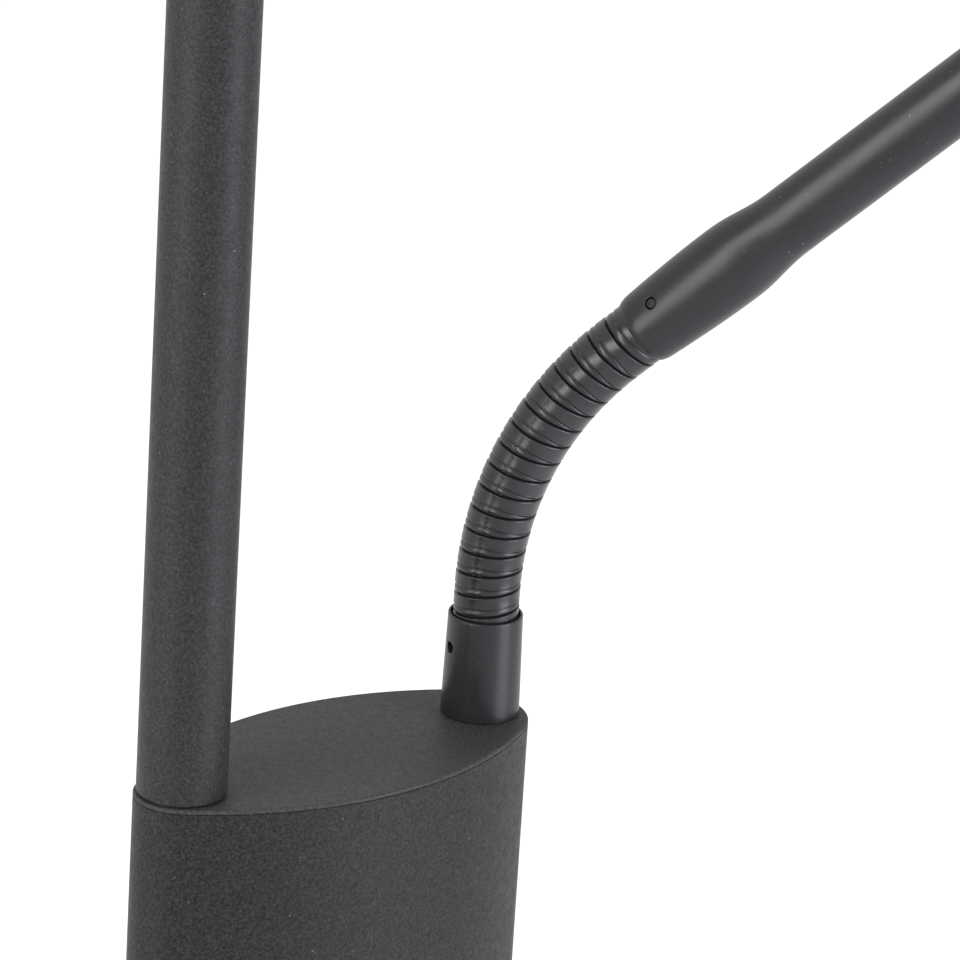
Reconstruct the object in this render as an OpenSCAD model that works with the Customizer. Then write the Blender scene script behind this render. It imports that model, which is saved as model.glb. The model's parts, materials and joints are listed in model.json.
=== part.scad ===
// Floor lamp: an uplighter on a pole, and a reading light on a wound flexible neck.
// The pole and the neck stand on the two ends of an oval control housing.
// Millimetres, +Z up, origin on the floor under the pole's axis, +X from the pole to the neck.

/* [Base] */
// Diameter of the round base
base_d = 280; // [220:5:340]
// Height of the base's top face above the floor
base_h = 24; // [22:1:40]
// Rounding of the base cover's upper edge
base_edge_r = 8; // [4:0.5:9]
// Sheet thickness of the base cover
base_wall = 1.5; // [1:0.25:2.5]
// Thickness of the felt pad under the base
felt_t = 2; // [1:0.5:3]

/* [Poles] */
// Outer diameter of the pole tubes over their coat
pole_d = 22.4; // [20:0.1:22.6]
// Wall of the pole tubes
pole_wall = 1.5; // [1:0.25:2.5]
// Height of the housing's top face above the floor
housing_top_z = 1000; // [800:10:1200]
// Length of the upper pole
upper_pole_l = 760; // [680:10:900]
// Thickness of the washer under the upper pole
pole_washer_t = 0.4; // [0.3:0.1:1]

/* [Housing] */
// Length of the oval housing
housing_l = 118; // [118:0.5:130]
// Width of the oval housing
housing_w = 57; // [52:0.5:62]
// Radius of the housing's end under the pole, round the pole's axis
pole_end_r = 11.9; // [11.7:0.1:13]
// Radius of the housing's end under the neck
neck_end_r = 17; // [16.5:0.1:19]
// Height of the housing with its caps
housing_h = 150; // [140:5:220]
// Wall of the housing
housing_wall = 2; // [1.5:0.25:2.25]
// Thickness of the top and bottom caps
cap_t = 2.4; // [2:0.1:4]
// Thickness of the caps' rim, which shows above and below the wall
cap_rim_t = 1.2; // [0.8:0.1:1.6]
// Distance from the pole's axis to the neck's axis
arm_offset = 95; // [92:0.5:95]

/* [Controls] */
// Diameter of the dimmer knobs
knob_d = 22; // [19:0.5:28]
// Length of the dimmer knobs
knob_l = 16; // [12:0.5:24]
// Drop from the housing's top to the upper knob's axis
knob_drop = 88; // [70:1:95]
// Distance between the two knobs' axes
knob_pitch = 34; // [30:1:36]

/* [Flexible neck] */
// Diameter of the neck socket at its foot
socket_foot_d = 20.2; // [19.2:0.1:21]
// Diameter of the neck socket at its rim
socket_top_d = 19; // [18.3:0.1:19.1]
// Height of the neck socket above the housing
socket_h = 27; // [24:0.5:36]
// Outer diameter of the wound neck
neck_d = 16.8; // [16:0.1:16.9]
// Length of one turn of the neck
turn_pitch = 5.5; // [5.3:0.05:6]
// Total bend of the neck at rest, in degrees
rest_bend = 46.4; // [20:0.2:50]
// Heading of the bent neck seen from above, in degrees
neck_heading = -51; // [-90:0.5:0]

/* [Reading arm] */
// Diameter of the arm tube
arm_d = 17.1; // [16.7:0.1:18]
// Length of the arm tube with its sleeve
arm_l = 430; // [300:5:480]
// Diameter of the sleeve at its lip
sleeve_lip_d = 18.3; // [17.6:0.1:19]
// Largest diameter of the sleeve
sleeve_d = 20.3; // [19.4:0.1:22]
// Length from the sleeve's lip to its largest diameter
sleeve_l = 27; // [20:0.5:34]
// Length of the shoulder from the sleeve down to the tube
shoulder_l = 16; // [10:0.5:24]

/* [Reading head] */
// Diameter of the reading head
head_d = 54; // [46:1:60]
// Length of the reading head behind its front edge
head_l = 48; // [44:1:54]
// Wall of the reading head
head_wall = 1.8; // [1.2:0.1:2.4]

/* [Uplighter] */
// Diameter of the uplighter bowl
bowl_d = 260; // [220:5:320]
// Depth of the uplighter bowl
bowl_depth = 38; // [34:1:50]
// Sheet thickness of the bowl
bowl_t = 1.5; // [1:0.25:2]

/* [Hidden] */
$fn = 96;

// Colours
coat_black = [0.20, 0.20, 0.21];
satin_black = [0.24, 0.24, 0.25];
knob_black = [0.12, 0.12, 0.13];
felt_black = [0.08, 0.08, 0.08];
cast_iron = [0.32, 0.32, 0.33];
zinc = [0.72, 0.73, 0.75];
aluminium = [0.80, 0.81, 0.83];
board_white = [0.90, 0.90, 0.88];
opal = [0.96, 0.95, 0.92];
plastic_white = [0.86, 0.87, 0.88];
lead_black = [0.10, 0.10, 0.11];

// General clearances
eps = 0.01;
fit_gap = 0.05;

// Heights of the column
pole_r = pole_d / 2;
housing_bot_z = housing_top_z - housing_h;
joint_z = (base_h + housing_bot_z) / 2;
upper_z0 = housing_top_z + pole_washer_t;
upper_z1 = upper_z0 + upper_pole_l;

// Threaded tubes, nuts and pole inserts
stud_r = 5;
stud_bore_r = 3.4;
nut_af = 16;
nut_h = 5;
insert_l = 20;
stud_reach = 18;

// Base
base_r = base_d / 2;
ballast_r = base_r - base_wall - 0.5;
ballast_top = base_h - base_wall;
recess_r = 14;
recess_h = 10;
washer_t = 1.6;
inlet_z = felt_t + 6.5;
inlet_bore_r = 3.2;
inlet_r = 4.4;
inlet_flange_r = 6;
inlet_l = 8;

// Oval outline: two wide side arcs and a round at each end, which stands a hair proud of the arcs
half_w = housing_w / 2;
housing_x = arm_offset / 2;
neck_end_x = housing_l - pole_end_r - neck_end_r;

// Centre and radius of the side arcs, which touch both rounds: side_x solves a quadratic equation
pole_end_drop = half_w - pole_end_r;
neck_end_drop = half_w - neck_end_r;
arc_a = 1 / pole_end_drop - 1 / neck_end_drop;
arc_b = 2 * neck_end_x / neck_end_drop;
arc_c = neck_end_x * neck_end_x / neck_end_drop + neck_end_r - pole_end_r;
side_x = 2 * arc_c / (arc_b + sqrt(arc_b * arc_b + 4 * arc_a * arc_c));
side_r = (side_x * side_x / pole_end_drop + half_w + pole_end_r) / 2;
side_c = side_r - half_w;
round_proud = 0.004;

// Caps' lips, and the screw posts in the housing
lip_h = 5;
lip_t = 1.6;
lip_gap = 0.15;
port_r = 3.5;
port_x = 33.5;
function port_y(x) = sqrt(side_r * side_r - pow(x - side_x, 2)) - side_c - housing_wall - port_r + 0.8;

// Driver and wiring inside the housing
driver_size = [38, 16, 95];
driver_z0 = housing_bot_z + cap_t;
lead_r = 2.4;
lead_bend_r = 10;
lead_lap = 0.5;
supply_exit_z = driver_z0 + 14;
uplight_exit_z = driver_z0 + 48;
reading_exit_z = driver_z0 + 78;

// Dimmers and knobs
bush_r = 4.5;
bush_out = 5;
shaft_r = 3;
dimmer_nut_h = 2;
dimmer_front = half_w - housing_wall - 0.45;
dimmer_size = 16;
dimmer_depth = 11;
knob_r = knob_d / 2;
knob_back = half_w + 0.8;
knob_front = knob_back + knob_l;
uplight_knob_z = housing_top_z - knob_drop;
reading_knob_z = uplight_knob_z - knob_pitch;

// Flexible neck: a row of equal turns, each hinged to the next on a ball
joint_count = 14;
turn_count = joint_count - 1;
bend_step = rest_bend / joint_count;
neck_r = neck_d / 2;
turn_gap = 1.5;
turn_chamfer = 0.4;
ball_r = 5.8;
ball_gap = 0.3;
ball_rise = 1.6;
cup_depth = 2.7;
neck_bore_r = 3;
root_turns = 1;
neck_joint_z = housing_top_z + socket_h + root_turns * turn_pitch + 2.8;
socket_floor_z = housing_top_z + 4;
socket_bore_r = neck_r + 0.1;
socket_screw_z = housing_top_z + 18.5;
socket_screw_turn = 167;
screw_r = 1.45;
groove_r = neck_r - 1.1;

// Radial position and height of the neck's joint k, in the plane of the bend
function sum_sin(k) = k <= 0 ? 0 : sum_sin(k - 1) + sin(k * bend_step);
function sum_cos(k) = k <= 0 ? 0 : sum_cos(k - 1) + cos(k * bend_step);
function joint_r(k) = turn_pitch * sum_sin(k);
function joint_h(k) = neck_joint_z + turn_pitch * sum_cos(k);

// Centre line of the lead in the neck: the arc that touches every turn at its middle
arc_r = (turn_pitch / 2) / tan(bend_step / 2);
arc_z = neck_joint_z - turn_pitch / 2;

// Arm, measured along its axis from the neck's last joint
tip_turns = 2;
lip_a = tip_turns * turn_pitch - 1.2;
arm_end = lip_a + arm_l;
arm_r = arm_d / 2;
arm_bore_r = arm_r - 1.45;
tip_spigot_l = 24;
tip_screw_a = lip_a + 8.7;
tip_screw_turn = 35.5;
shoulder_a = lip_a + sleeve_l + 3;
swivel_l = 18;
swivel_screw_a = arm_end - 10;

// Reading head, measured from its tilt axis along the light
pin_a = arm_end + 0.2 + 3 + 15;
pin_r = 2;
tongue_t = 6;
tongue_r = 6.5;
ear_t = 3.5;
ear_gap = 0.3;
head_r = head_d / 2;
head_back = 12;
head_front = head_back + head_l;
boss_r = 11;
head_cone_l = 16;
head_board_at = head_back + 24;
lens_t = 2;

// Uplighter
bowl_r = bowl_d / 2;
bowl_sphere_r = (bowl_r * bowl_r + bowl_depth * bowl_depth) / (2 * bowl_depth);
bowl_seat_r = 16;
bowl_seat_h = 4;
sink_r = 45;
sink_t = 6;
sink_z = upper_z1 + bowl_sphere_r - sqrt(pow(bowl_sphere_r - bowl_t, 2) - sink_r * sink_r) + 0.1;
diffuser_t = 3;
diffuser_z = upper_z1 + bowl_depth - diffuser_t;
diffuser_r = sqrt(pow(bowl_sphere_r - bowl_t, 2) - pow(bowl_sphere_r - bowl_depth + diffuser_t, 2)) - 0.3;

// Shared shapes

module ring(r_out, r_in, h) {
  difference() {
    cylinder(r = r_out, h = h);
    translate([0, 0, -1]) cylinder(r = r_in, h = h + 2);
  }
}

module hex_nut(af, r_in, h) {
  difference() {
    rotate([0, 0, 30]) cylinder(d = af / cos(30), h = h, $fn = 6);
    translate([0, 0, -1]) cylinder(r = r_in, h = h + 2);
  }
}

module grub_screw(r, l, recess) {
  bevel = 0.35;
  difference() {
    union() {
      cylinder(r = r, h = l - bevel);
      translate([0, 0, l - bevel]) cylinder(r1 = r, r2 = r - bevel, h = bevel);
    }
    translate([0, 0, l - recess]) cylinder(r = r * 0.55, h = 2, $fn = 6);
  }
}

module oval_2d(inset = 0) {
  pole_side = side_x * (1 - (side_r - inset) / (side_r - pole_end_r));
  neck_side = side_x + (neck_end_x - side_x) * (side_r - inset) / (side_r - neck_end_r);
  intersection() {
    translate([side_x, -side_c]) circle(r = side_r - inset, $fn = 360);
    translate([side_x, side_c]) circle(r = side_r - inset, $fn = 360);
    translate([pole_side, -housing_w]) square([neck_side - pole_side, 2 * housing_w]);
  }
  circle(r = pole_end_r - inset + round_proud);
  translate([neck_end_x, 0]) circle(r = neck_end_r - inset + round_proud);
}

module oval_prism(h, inset = 0) {
  linear_extrude(height = h) oval_2d(inset);
}

module at_ports() {
  for (x = [housing_x - port_x, housing_x + port_x], s = [-1, 1]) {
    translate([x, s * port_y(x), 0]) children();
  }
}

// A housing cap with its face at z = 0 and its lip above, before it is turned for the top
module housing_cap() {
  difference() {
    union() {
      oval_prism(cap_rim_t);
      difference() {
        oval_prism(cap_t + lip_h, housing_wall + lip_gap);
        translate([0, 0, cap_t]) oval_prism(lip_h + 1, housing_wall + lip_gap + lip_t);
        for (x = [0, arm_offset]) {
          translate([x, 0, cap_t]) cylinder(r = nut_af / 2 / cos(30) + 1.5, h = lip_h + 1);
        }
        translate([0, 0, cap_t]) at_ports() cylinder(r = port_r + 0.5, h = lip_h + 1);
      }
    }
    translate([0, 0, -1]) cylinder(r = stud_r + 0.1, h = cap_t + 2);
    children();
  }
}

module pole_tube(z0, z1) {
  translate([0, 0, z0]) ring(pole_r, pole_r - pole_wall, z1 - z0);
}

module pole_insert(z0) {
  translate([0, 0, z0]) ring(pole_r - pole_wall - fit_gap, stud_r + fit_gap, insert_l);
}

module threaded_tube(z0, z1) {
  translate([0, 0, z0]) ring(stud_r, stud_bore_r, z1 - z0);
}

// Places its children on the housing's front face at a knob's axis, with +Z pointing out
module at_knob(z) {
  translate([housing_x, 0, z]) rotate([90, 0, 0]) children();
}

module dimmer(z) {
  at_knob(z) difference() {
    union() {
      translate([-dimmer_size / 2, -dimmer_size / 2, dimmer_front - dimmer_depth])
        cube([dimmer_size, dimmer_size, dimmer_depth]);
      translate([0, 0, dimmer_front - 1]) cylinder(r = bush_r, h = half_w + bush_out - dimmer_front + 1);
    }
    translate([0, 0, dimmer_front - dimmer_depth + 2]) cylinder(r = shaft_r + 0.1, h = 60);
  }
}

module knob(z) {
  at_knob(z) difference() {
    translate([0, 0, knob_back]) rotate_extrude() polygon([
      [0, 0], [knob_r, 0], [knob_r, knob_l - 1.2], [knob_r - 1.2, knob_l], [0, knob_l]
    ]);
    translate([0, 0, knob_back - 1]) cylinder(r = 8.3, h = bush_out + 1.5);
    translate([0, 0, knob_back - 1]) cylinder(r = shaft_r + 0.02, h = knob_l - 2);
    for (a = [0 : 15 : 345]) {
      rotate([0, 0, a]) translate([knob_r + 0.35, 0, knob_back + 2.5])
        cylinder(r = 0.8, h = knob_l, $fn = 24);
    }
    translate([-0.6, 3, knob_front - 0.7]) cube([1.2, knob_r, 2]);
  }
}

module knob_shaft(z) {
  at_knob(z) translate([0, 0, dimmer_front - dimmer_depth + 2.5])
    cylinder(r = shaft_r, h = knob_back + knob_l - 3.5 - (dimmer_front - dimmer_depth + 2.5));
}

// Places its children on the neck socket's axis, with +Z out along the socket's screw
module at_socket_screw() {
  translate([arm_offset, 0, socket_screw_z])
    rotate([0, 0, socket_screw_turn]) rotate([0, 90, 0]) children();
}

// Places its children at the neck's joint k, with +Z along the turn that follows it
module at_joint(k) {
  translate([arm_offset, 0, 0])
    rotate([0, 0, neck_heading])
      translate([joint_r(k), 0, joint_h(k)])
        rotate([0, (k + 1) * bend_step, 0])
          children();
}

// Places its children on the arm's axis, at a distance from the last joint
module on_arm(a) {
  at_joint(turn_count) translate([0, 0, a]) children();
}

// Places its children on the arm's axis, with +Z out along the screw that holds the neck's tip
module at_tip_screw() {
  on_arm(tip_screw_a) rotate([0, 0, -90 - tip_screw_turn]) rotate([0, 90, 0]) children();
}

// Places its children on the arm's axis, with +Z out along the screw that keeps the swivel
module at_swivel_screw() {
  on_arm(swivel_screw_a) rotate([0, 0, 180]) rotate([0, 90, 0]) children();
}

// Places its children at the tilt axis: +Z along the light, +Y along the tilt axis
module at_head() {
  on_arm(pin_a) rotate([0, 90, 0]) children();
}

// Half section of one band of the neck between two heights
module band_2d(z0, z1) {
  polygon([
    [neck_bore_r, z0], [neck_r - turn_chamfer, z0], [neck_r, z0 + turn_chamfer],
    [neck_r, z1 - turn_chamfer], [neck_r - turn_chamfer, z1], [neck_bore_r, z1]
  ]);
}

// Half section of the ball that stands on a band whose joint is at height z
module ball_2d(z) {
  intersection() {
    translate([0, z]) circle(r = ball_r);
    translate([neck_bore_r, z - turn_gap]) square([ball_r, turn_gap + ball_rise]);
  }
}

// Half section of the cup that takes the ball of the band below, whose joint is at height 0
module cup_2d() {
  intersection() {
    circle(r = ball_r + ball_gap);
    translate([0, -ball_r]) square([2 * ball_r, ball_r + cup_depth]);
  }
}

module neck_turn(k) {
  color(satin_black) at_joint(k - 1) rotate_extrude() difference() {
    union() {
      band_2d(turn_gap / 2, turn_pitch - turn_gap / 2);
      ball_2d(turn_pitch);
    }
    cup_2d();
  }
}

// Straight lead along +Z, reaching a little past both of its ends into the bends there
module lead_run(l) {
  translate([0, 0, -lead_lap]) cylinder(r = lead_r, h = l + 2 * lead_lap);
}

// Blind hole along +X for a lead
module lead_entry() {
  rotate([0, 90, 0]) cylinder(r = lead_r + 0.1, h = 6);
}

// Quarter bend that takes a lead from +Z at the origin round to +X
module lead_quarter() {
  translate([lead_bend_r, 0, 0])
    rotate([90, 0, 0])
      rotate([0, 0, 90])
        rotate_extrude(angle = 90) translate([lead_bend_r, 0]) circle(r = lead_r - 0.1);
}

// Base

module base_felt_pad() {
  color(felt_black) cylinder(r = base_r - 3, h = felt_t);
}

module base_ballast() {
  edge = max(base_edge_r - base_wall, 1);
  color(cast_iron) difference() {
    translate([0, 0, felt_t]) rotate_extrude() {
      square([ballast_r - edge, ballast_top - felt_t]);
      square([ballast_r, ballast_top - felt_t - edge]);
      intersection() {
        translate([ballast_r - edge, ballast_top - felt_t - edge]) circle(r = edge);
        translate([ballast_r - edge - eps, ballast_top - felt_t - edge - eps]) square(edge + 1);
      }
    }
    translate([0, 0, -1]) cylinder(r = stud_r + 0.2, h = base_h + 2);
    translate([0, 0, -1]) cylinder(r = recess_r, h = felt_t + recess_h + 1);
    translate([-base_r, -5.5, -1]) cube([base_r, 11, inlet_z + inlet_flange_r + 1]);
  }
}

module base_cover() {
  module outline(r, top, edge) {
    square([r - edge, top]);
    square([r, top - edge]);
    translate([r - edge, top - edge]) intersection() {
      circle(r = edge);
      translate([-eps, -eps]) square(edge + 1);
    }
  }
  color(coat_black) difference() {
    translate([0, 0, felt_t]) rotate_extrude() difference() {
      outline(base_r, base_h - felt_t, base_edge_r);
      translate([0, -1])
        outline(base_r - base_wall, base_h - felt_t - base_wall + 1, base_edge_r - base_wall);
    }
    cylinder(r = stud_r + 0.2, h = base_h + 1);
    translate([-base_r - 1, 0, inlet_z]) rotate([0, 90, 0]) cylinder(r = inlet_r + 0.1, h = base_wall + 4);
  }
}

module base_washer() {
  color(zinc) translate([0, 0, felt_t + recess_h - washer_t]) ring(recess_r - 2, stud_r + 0.2, washer_t);
}

module base_nut() {
  color(zinc) translate([0, 0, felt_t + recess_h - washer_t - nut_h])
    hex_nut(nut_af, stud_r + fit_gap, nut_h);
}

module cord_inlet_bush() {
  color(knob_black) translate([-base_r, 0, inlet_z]) rotate([0, 90, 0]) difference() {
    union() {
      translate([0, 0, -2]) cylinder(r = inlet_flange_r, h = 2);
      translate([0, 0, -1]) cylinder(r = inlet_r, h = inlet_l - 1);
    }
    translate([0, 0, -3]) cylinder(r = inlet_bore_r, h = inlet_l + 6);
  }
}

// Column

module lower_pole() {
  color(coat_black) pole_tube(base_h, joint_z);
}

module middle_pole() {
  color(coat_black) pole_tube(joint_z, housing_bot_z);
}

module upper_pole() {
  color(coat_black) pole_tube(upper_z0, upper_z1);
}

module pole_inserts() {
  color(zinc) {
    pole_insert(base_h);
    pole_insert(joint_z - insert_l - eps);
    pole_insert(joint_z + eps);
    pole_insert(housing_bot_z - insert_l);
    pole_insert(upper_z0);
    pole_insert(upper_z1 - insert_l);
  }
}

module pole_studs() {
  color(zinc) {
    threaded_tube(felt_t + 1.2, base_h + stud_reach);
    threaded_tube(joint_z - stud_reach, joint_z + stud_reach);
    threaded_tube(upper_z1 - stud_reach, sink_z + sink_t + nut_h + 2);
  }
}

module upper_pole_washer() {
  color(zinc) translate([0, 0, housing_top_z]) ring(pole_r - 1.6, stud_r + 0.1, pole_washer_t);
}

// Housing

module housing_bottom_cap() {
  color(coat_black) translate([0, 0, housing_bot_z]) housing_cap() {
    translate([0, 0, -1]) at_ports() cylinder(r = 1.7, h = cap_t + 2);
    translate([0, 0, -eps]) at_ports() cylinder(r1 = 3.1, r2 = 1.7, h = 1.5);
  }
}

module housing_shell() {
  shell_h = housing_h - 2 * cap_rim_t;
  color(coat_black) difference() {
    union() {
      translate([0, 0, housing_bot_z + cap_rim_t]) difference() {
        oval_prism(shell_h);
        translate([0, 0, -1]) oval_prism(shell_h + 2, housing_wall);
      }
      translate([0, 0, housing_bot_z + cap_t]) at_ports() ring(port_r, 1.3, housing_h - 2 * cap_t);
    }
    for (z = [uplight_knob_z, reading_knob_z]) {
      at_knob(z) translate([0, 0, dimmer_front - 2]) cylinder(r = bush_r + 0.1, h = 12);
    }
  }
}

module housing_top_cap() {
  color(satin_black) translate([0, 0, housing_top_z]) mirror([0, 0, 1]) housing_cap() {
    translate([arm_offset, 0, -1]) cylinder(r = stud_r + 0.1, h = cap_t + 2);
  }
}

module housing_tie_tube() {
  color(zinc) difference() {
    threaded_tube(housing_bot_z - stud_reach, upper_z0 + stud_reach);
    for (z = [supply_exit_z, uplight_exit_z - 6]) {
      translate([0, -3, z]) cube([8, 6, lead_bend_r + 6]);
    }
  }
}

module housing_tie_nuts() {
  color(zinc) {
    translate([0, 0, housing_bot_z + cap_t]) hex_nut(nut_af, stud_r + fit_gap, nut_h);
    translate([0, 0, housing_top_z - cap_t - nut_h]) hex_nut(nut_af, stud_r + fit_gap, nut_h);
  }
}

module bottom_cap_screws() {
  color(zinc) translate([0, 0, housing_bot_z]) at_ports() difference() {
    union() {
      translate([0, 0, 0.1]) cylinder(r1 = 2.9, r2 = 1.55, h = 1.35);
      translate([0, 0, 1.4]) cylinder(r = 1.25, h = cap_t + 8);
    }
    translate([0, 0, -1]) cylinder(r = 1.1, h = 1.9, $fn = 6);
  }
}

module driver_unit() {
  x0 = housing_x - driver_size[0] / 2;
  y0 = -4;
  color(plastic_white) difference() {
    translate([x0, y0, driver_z0]) union() {
      cube(driver_size);
      translate([3, -1.5, 20]) cube([driver_size[0] - 6, 3, driver_size[2] - 40]);
    }
    translate([x0 - 1, y0 + 4, supply_exit_z + lead_bend_r]) lead_entry();
    translate([x0 - 1, y0 + 4, uplight_exit_z]) lead_entry();
    translate([x0 + driver_size[0] - 5, y0 + 4, reading_exit_z]) lead_entry();
  }
}

module uplight_dimmer() {
  color(knob_black) dimmer(uplight_knob_z);
}

module reading_dimmer() {
  color(knob_black) dimmer(reading_knob_z);
}

module dimmer_nuts() {
  color(zinc) for (z = [uplight_knob_z, reading_knob_z]) {
    at_knob(z) translate([0, 0, half_w]) hex_nut(12, bush_r + fit_gap, dimmer_nut_h);
  }
}

module uplight_knob() {
  color(knob_black) knob(uplight_knob_z);
}

module uplight_knob_shaft() {
  color(zinc) knob_shaft(uplight_knob_z);
}

module reading_knob() {
  color(knob_black) knob(reading_knob_z);
}

module reading_knob_shaft() {
  color(zinc) knob_shaft(reading_knob_z);
}

// Uplighter

module uplight_bowl() {
  color(coat_black) translate([0, 0, upper_z1]) difference() {
    union() {
      rotate_extrude() intersection() {
        difference() {
          translate([0, bowl_sphere_r]) circle(r = bowl_sphere_r, $fn = 360);
          translate([0, bowl_sphere_r]) circle(r = bowl_sphere_r - bowl_t, $fn = 360);
        }
        square([bowl_r + 5, bowl_depth]);
      }
      cylinder(r = bowl_seat_r, h = bowl_seat_h);
      translate([0, 0, bowl_depth]) rotate_extrude() translate([bowl_r - 0.6, 0]) circle(r = 1.6, $fn = 48);
    }
    translate([0, 0, -1]) cylinder(r = stud_r + 0.1, h = bowl_depth);
  }
}

module uplight_heat_sink() {
  color(aluminium) difference() {
    union() {
      translate([0, 0, sink_z]) cylinder(r = sink_r, h = sink_t);
      translate([0, 0, upper_z1 + bowl_seat_h])
        cylinder(r = bowl_seat_r, h = sink_z - upper_z1 - bowl_seat_h + 1);
    }
    translate([0, 0, upper_z1]) cylinder(r = stud_r + 0.1, h = 60);
    for (a = [0 : 30 : 330]) {
      rotate([0, 0, a]) translate([34, 0, sink_z - 1]) cylinder(r = 3.5, h = sink_t - 1);
    }
  }
}

module uplight_nut() {
  color(zinc) translate([0, 0, sink_z + sink_t]) hex_nut(nut_af, stud_r + fit_gap, nut_h);
}

module uplight_led_board() {
  color(board_white) translate([0, 0, sink_z + sink_t]) {
    ring(sink_r - 2, 13, 1.6);
    for (a = [0 : 30 : 330]) {
      rotate([0, 0, a]) translate([30, 0, 1]) translate([-1.75, -1.75, 0]) cube([3.5, 3.5, 1.5]);
    }
  }
}

module uplight_diffuser() {
  color(opal) translate([0, 0, diffuser_z]) cylinder(r = diffuser_r, h = diffuser_t);
}

// Flexible neck

module neck_socket() {
  foot_r = socket_foot_d / 2;
  top_r = socket_top_d / 2;
  color(satin_black) difference() {
    translate([arm_offset, 0, housing_top_z]) union() {
      cylinder(r1 = foot_r, r2 = top_r, h = socket_h);
      translate([0, 0, -cap_t - nut_h - 1.5]) cylinder(r = stud_r, h = cap_t + nut_h + 2);
    }
    translate([arm_offset, 0, socket_floor_z]) cylinder(r = socket_bore_r, h = socket_h);
    translate([arm_offset, 0, housing_top_z - 20]) cylinder(r = neck_bore_r + 0.2, h = 40);
    at_socket_screw() cylinder(r = screw_r + fit_gap, h = 15);
  }
}

module neck_socket_nut() {
  color(zinc) translate([arm_offset, 0, housing_top_z - cap_t - nut_h])
    hex_nut(nut_af, stud_r + fit_gap, nut_h);
}

module neck_socket_screw() {
  color(zinc) at_socket_screw() translate([0, 0, groove_r + 0.35])
    grub_screw(screw_r, socket_bore_r + 0.3 - groove_r - 0.35, 0.8);
}

module neck_root() {
  bottom = socket_floor_z + 0.2 - neck_joint_z;
  color(satin_black) translate([arm_offset, 0, neck_joint_z]) rotate_extrude() difference() {
    union() {
      for (i = [0 : root_turns - 1]) {
        band_2d(-(i + 1) * turn_pitch + turn_gap / 2, -i * turn_pitch - turn_gap / 2);
      }
      translate([neck_bore_r, bottom]) square([neck_r - 1 - neck_bore_r, -bottom - turn_gap / 2 - 1]);
      translate([neck_bore_r, bottom])
        square([neck_r - neck_bore_r, -bottom - root_turns * turn_pitch - turn_gap / 2]);
      ball_2d(0);
    }
    translate([groove_r, socket_screw_z - neck_joint_z - 1.8]) square([5, 3.6]);
  }
}

module neck_tip() {
  color(satin_black) on_arm(0) rotate_extrude() difference() {
    union() {
      band_2d(turn_gap / 2, turn_pitch - turn_gap / 2);
      band_2d(turn_pitch + turn_gap / 2, lip_a - eps);
      translate([neck_bore_r, turn_gap])
        square([arm_bore_r - fit_gap - neck_bore_r, lip_a + tip_spigot_l - turn_gap]);
    }
    cup_2d();
  }
}

// Arm

module arm_tube() {
  lip_r = sleeve_lip_d / 2;
  big_r = sleeve_d / 2;
  shoulder = [for (i = [0 : 12])
    [arm_r + (big_r - arm_r) * (1 + cos(180 * i / 12)) / 2, shoulder_a + shoulder_l * i / 12]];
  color(satin_black) difference() {
    on_arm(0) rotate_extrude() polygon(concat(
      [[arm_bore_r, lip_a], [lip_r - 0.6, lip_a], [lip_r - 0.15, lip_a + 0.8], [lip_r, lip_a + 2.2]],
      [[big_r - 0.15, lip_a + sleeve_l * 0.76], [big_r, lip_a + sleeve_l]],
      shoulder,
      [[arm_r, arm_end], [arm_bore_r, arm_end]]
    ));
    at_tip_screw() cylinder(r = screw_r + fit_gap, h = 15);
    at_swivel_screw() cylinder(r = screw_r + fit_gap, h = 15);
  }
}

module arm_screws() {
  color(zinc) {
    at_tip_screw() translate([0, 0, arm_bore_r - fit_gap + eps]) grub_screw(screw_r, 2.1, 0.15);
    at_swivel_screw() translate([0, 0, arm_bore_r - 0.6]) grub_screw(screw_r, 1.7, 0.8);
  }
}

// Reading head

module head_swivel() {
  plug_r = arm_bore_r - fit_gap;
  color(satin_black) difference() {
    on_arm(0) union() {
      translate([0, 0, arm_end - swivel_l]) difference() {
        cylinder(r = plug_r, h = swivel_l + 1);
        translate([0, 0, swivel_screw_a - arm_end + swivel_l - 1.8]) ring(plug_r + 1, plug_r - 0.9, 3.6);
      }
      translate([0, 0, arm_end + 0.2]) cylinder(r = arm_r, h = 3);
      translate([-tongue_r, -tongue_t / 2, arm_end + 3])
        cube([2 * tongue_r, tongue_t, pin_a - arm_end - 3]);
      translate([0, tongue_t / 2, pin_a]) rotate([90, 0, 0]) cylinder(r = tongue_r, h = tongue_t);
    }
    on_arm(arm_end - swivel_l - 1) cylinder(r = lead_r + 0.1, h = swivel_l + 2);
    on_arm(pin_a) rotate([90, 0, 0]) cylinder(r = pin_r + fit_gap, h = 40, center = true);
  }
}

module head_shell() {
  ear_y = tongue_t / 2 + ear_gap;
  color(satin_black) at_head() difference() {
    union() {
      rotate_extrude() difference() {
        polygon([
          [0, head_back], [boss_r, head_back], [head_r, head_back + head_cone_l], [head_r, head_front - 1],
          [head_r - 1, head_front], [0, head_front]
        ]);
        polygon([
          [0, head_board_at - 3], [head_r - head_wall - 3, head_board_at - 3],
          [head_r - head_wall - 3, head_board_at],
          [head_r - head_wall, head_board_at], [head_r - head_wall, head_front + 1], [0, head_front + 1]
        ]);
      }
      for (s = [-1, 1]) {
        translate([0, s * (ear_y + ear_t / 2), 0]) rotate([90, 0, 0]) {
          cylinder(r = tongue_r, h = ear_t, center = true);
          translate([-tongue_r, 0, -ear_t / 2]) cube([2 * tongue_r, head_back + 1, ear_t]);
        }
      }
    }
    rotate([90, 0, 0]) cylinder(r = pin_r + fit_gap, h = 40, center = true);
  }
}

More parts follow.
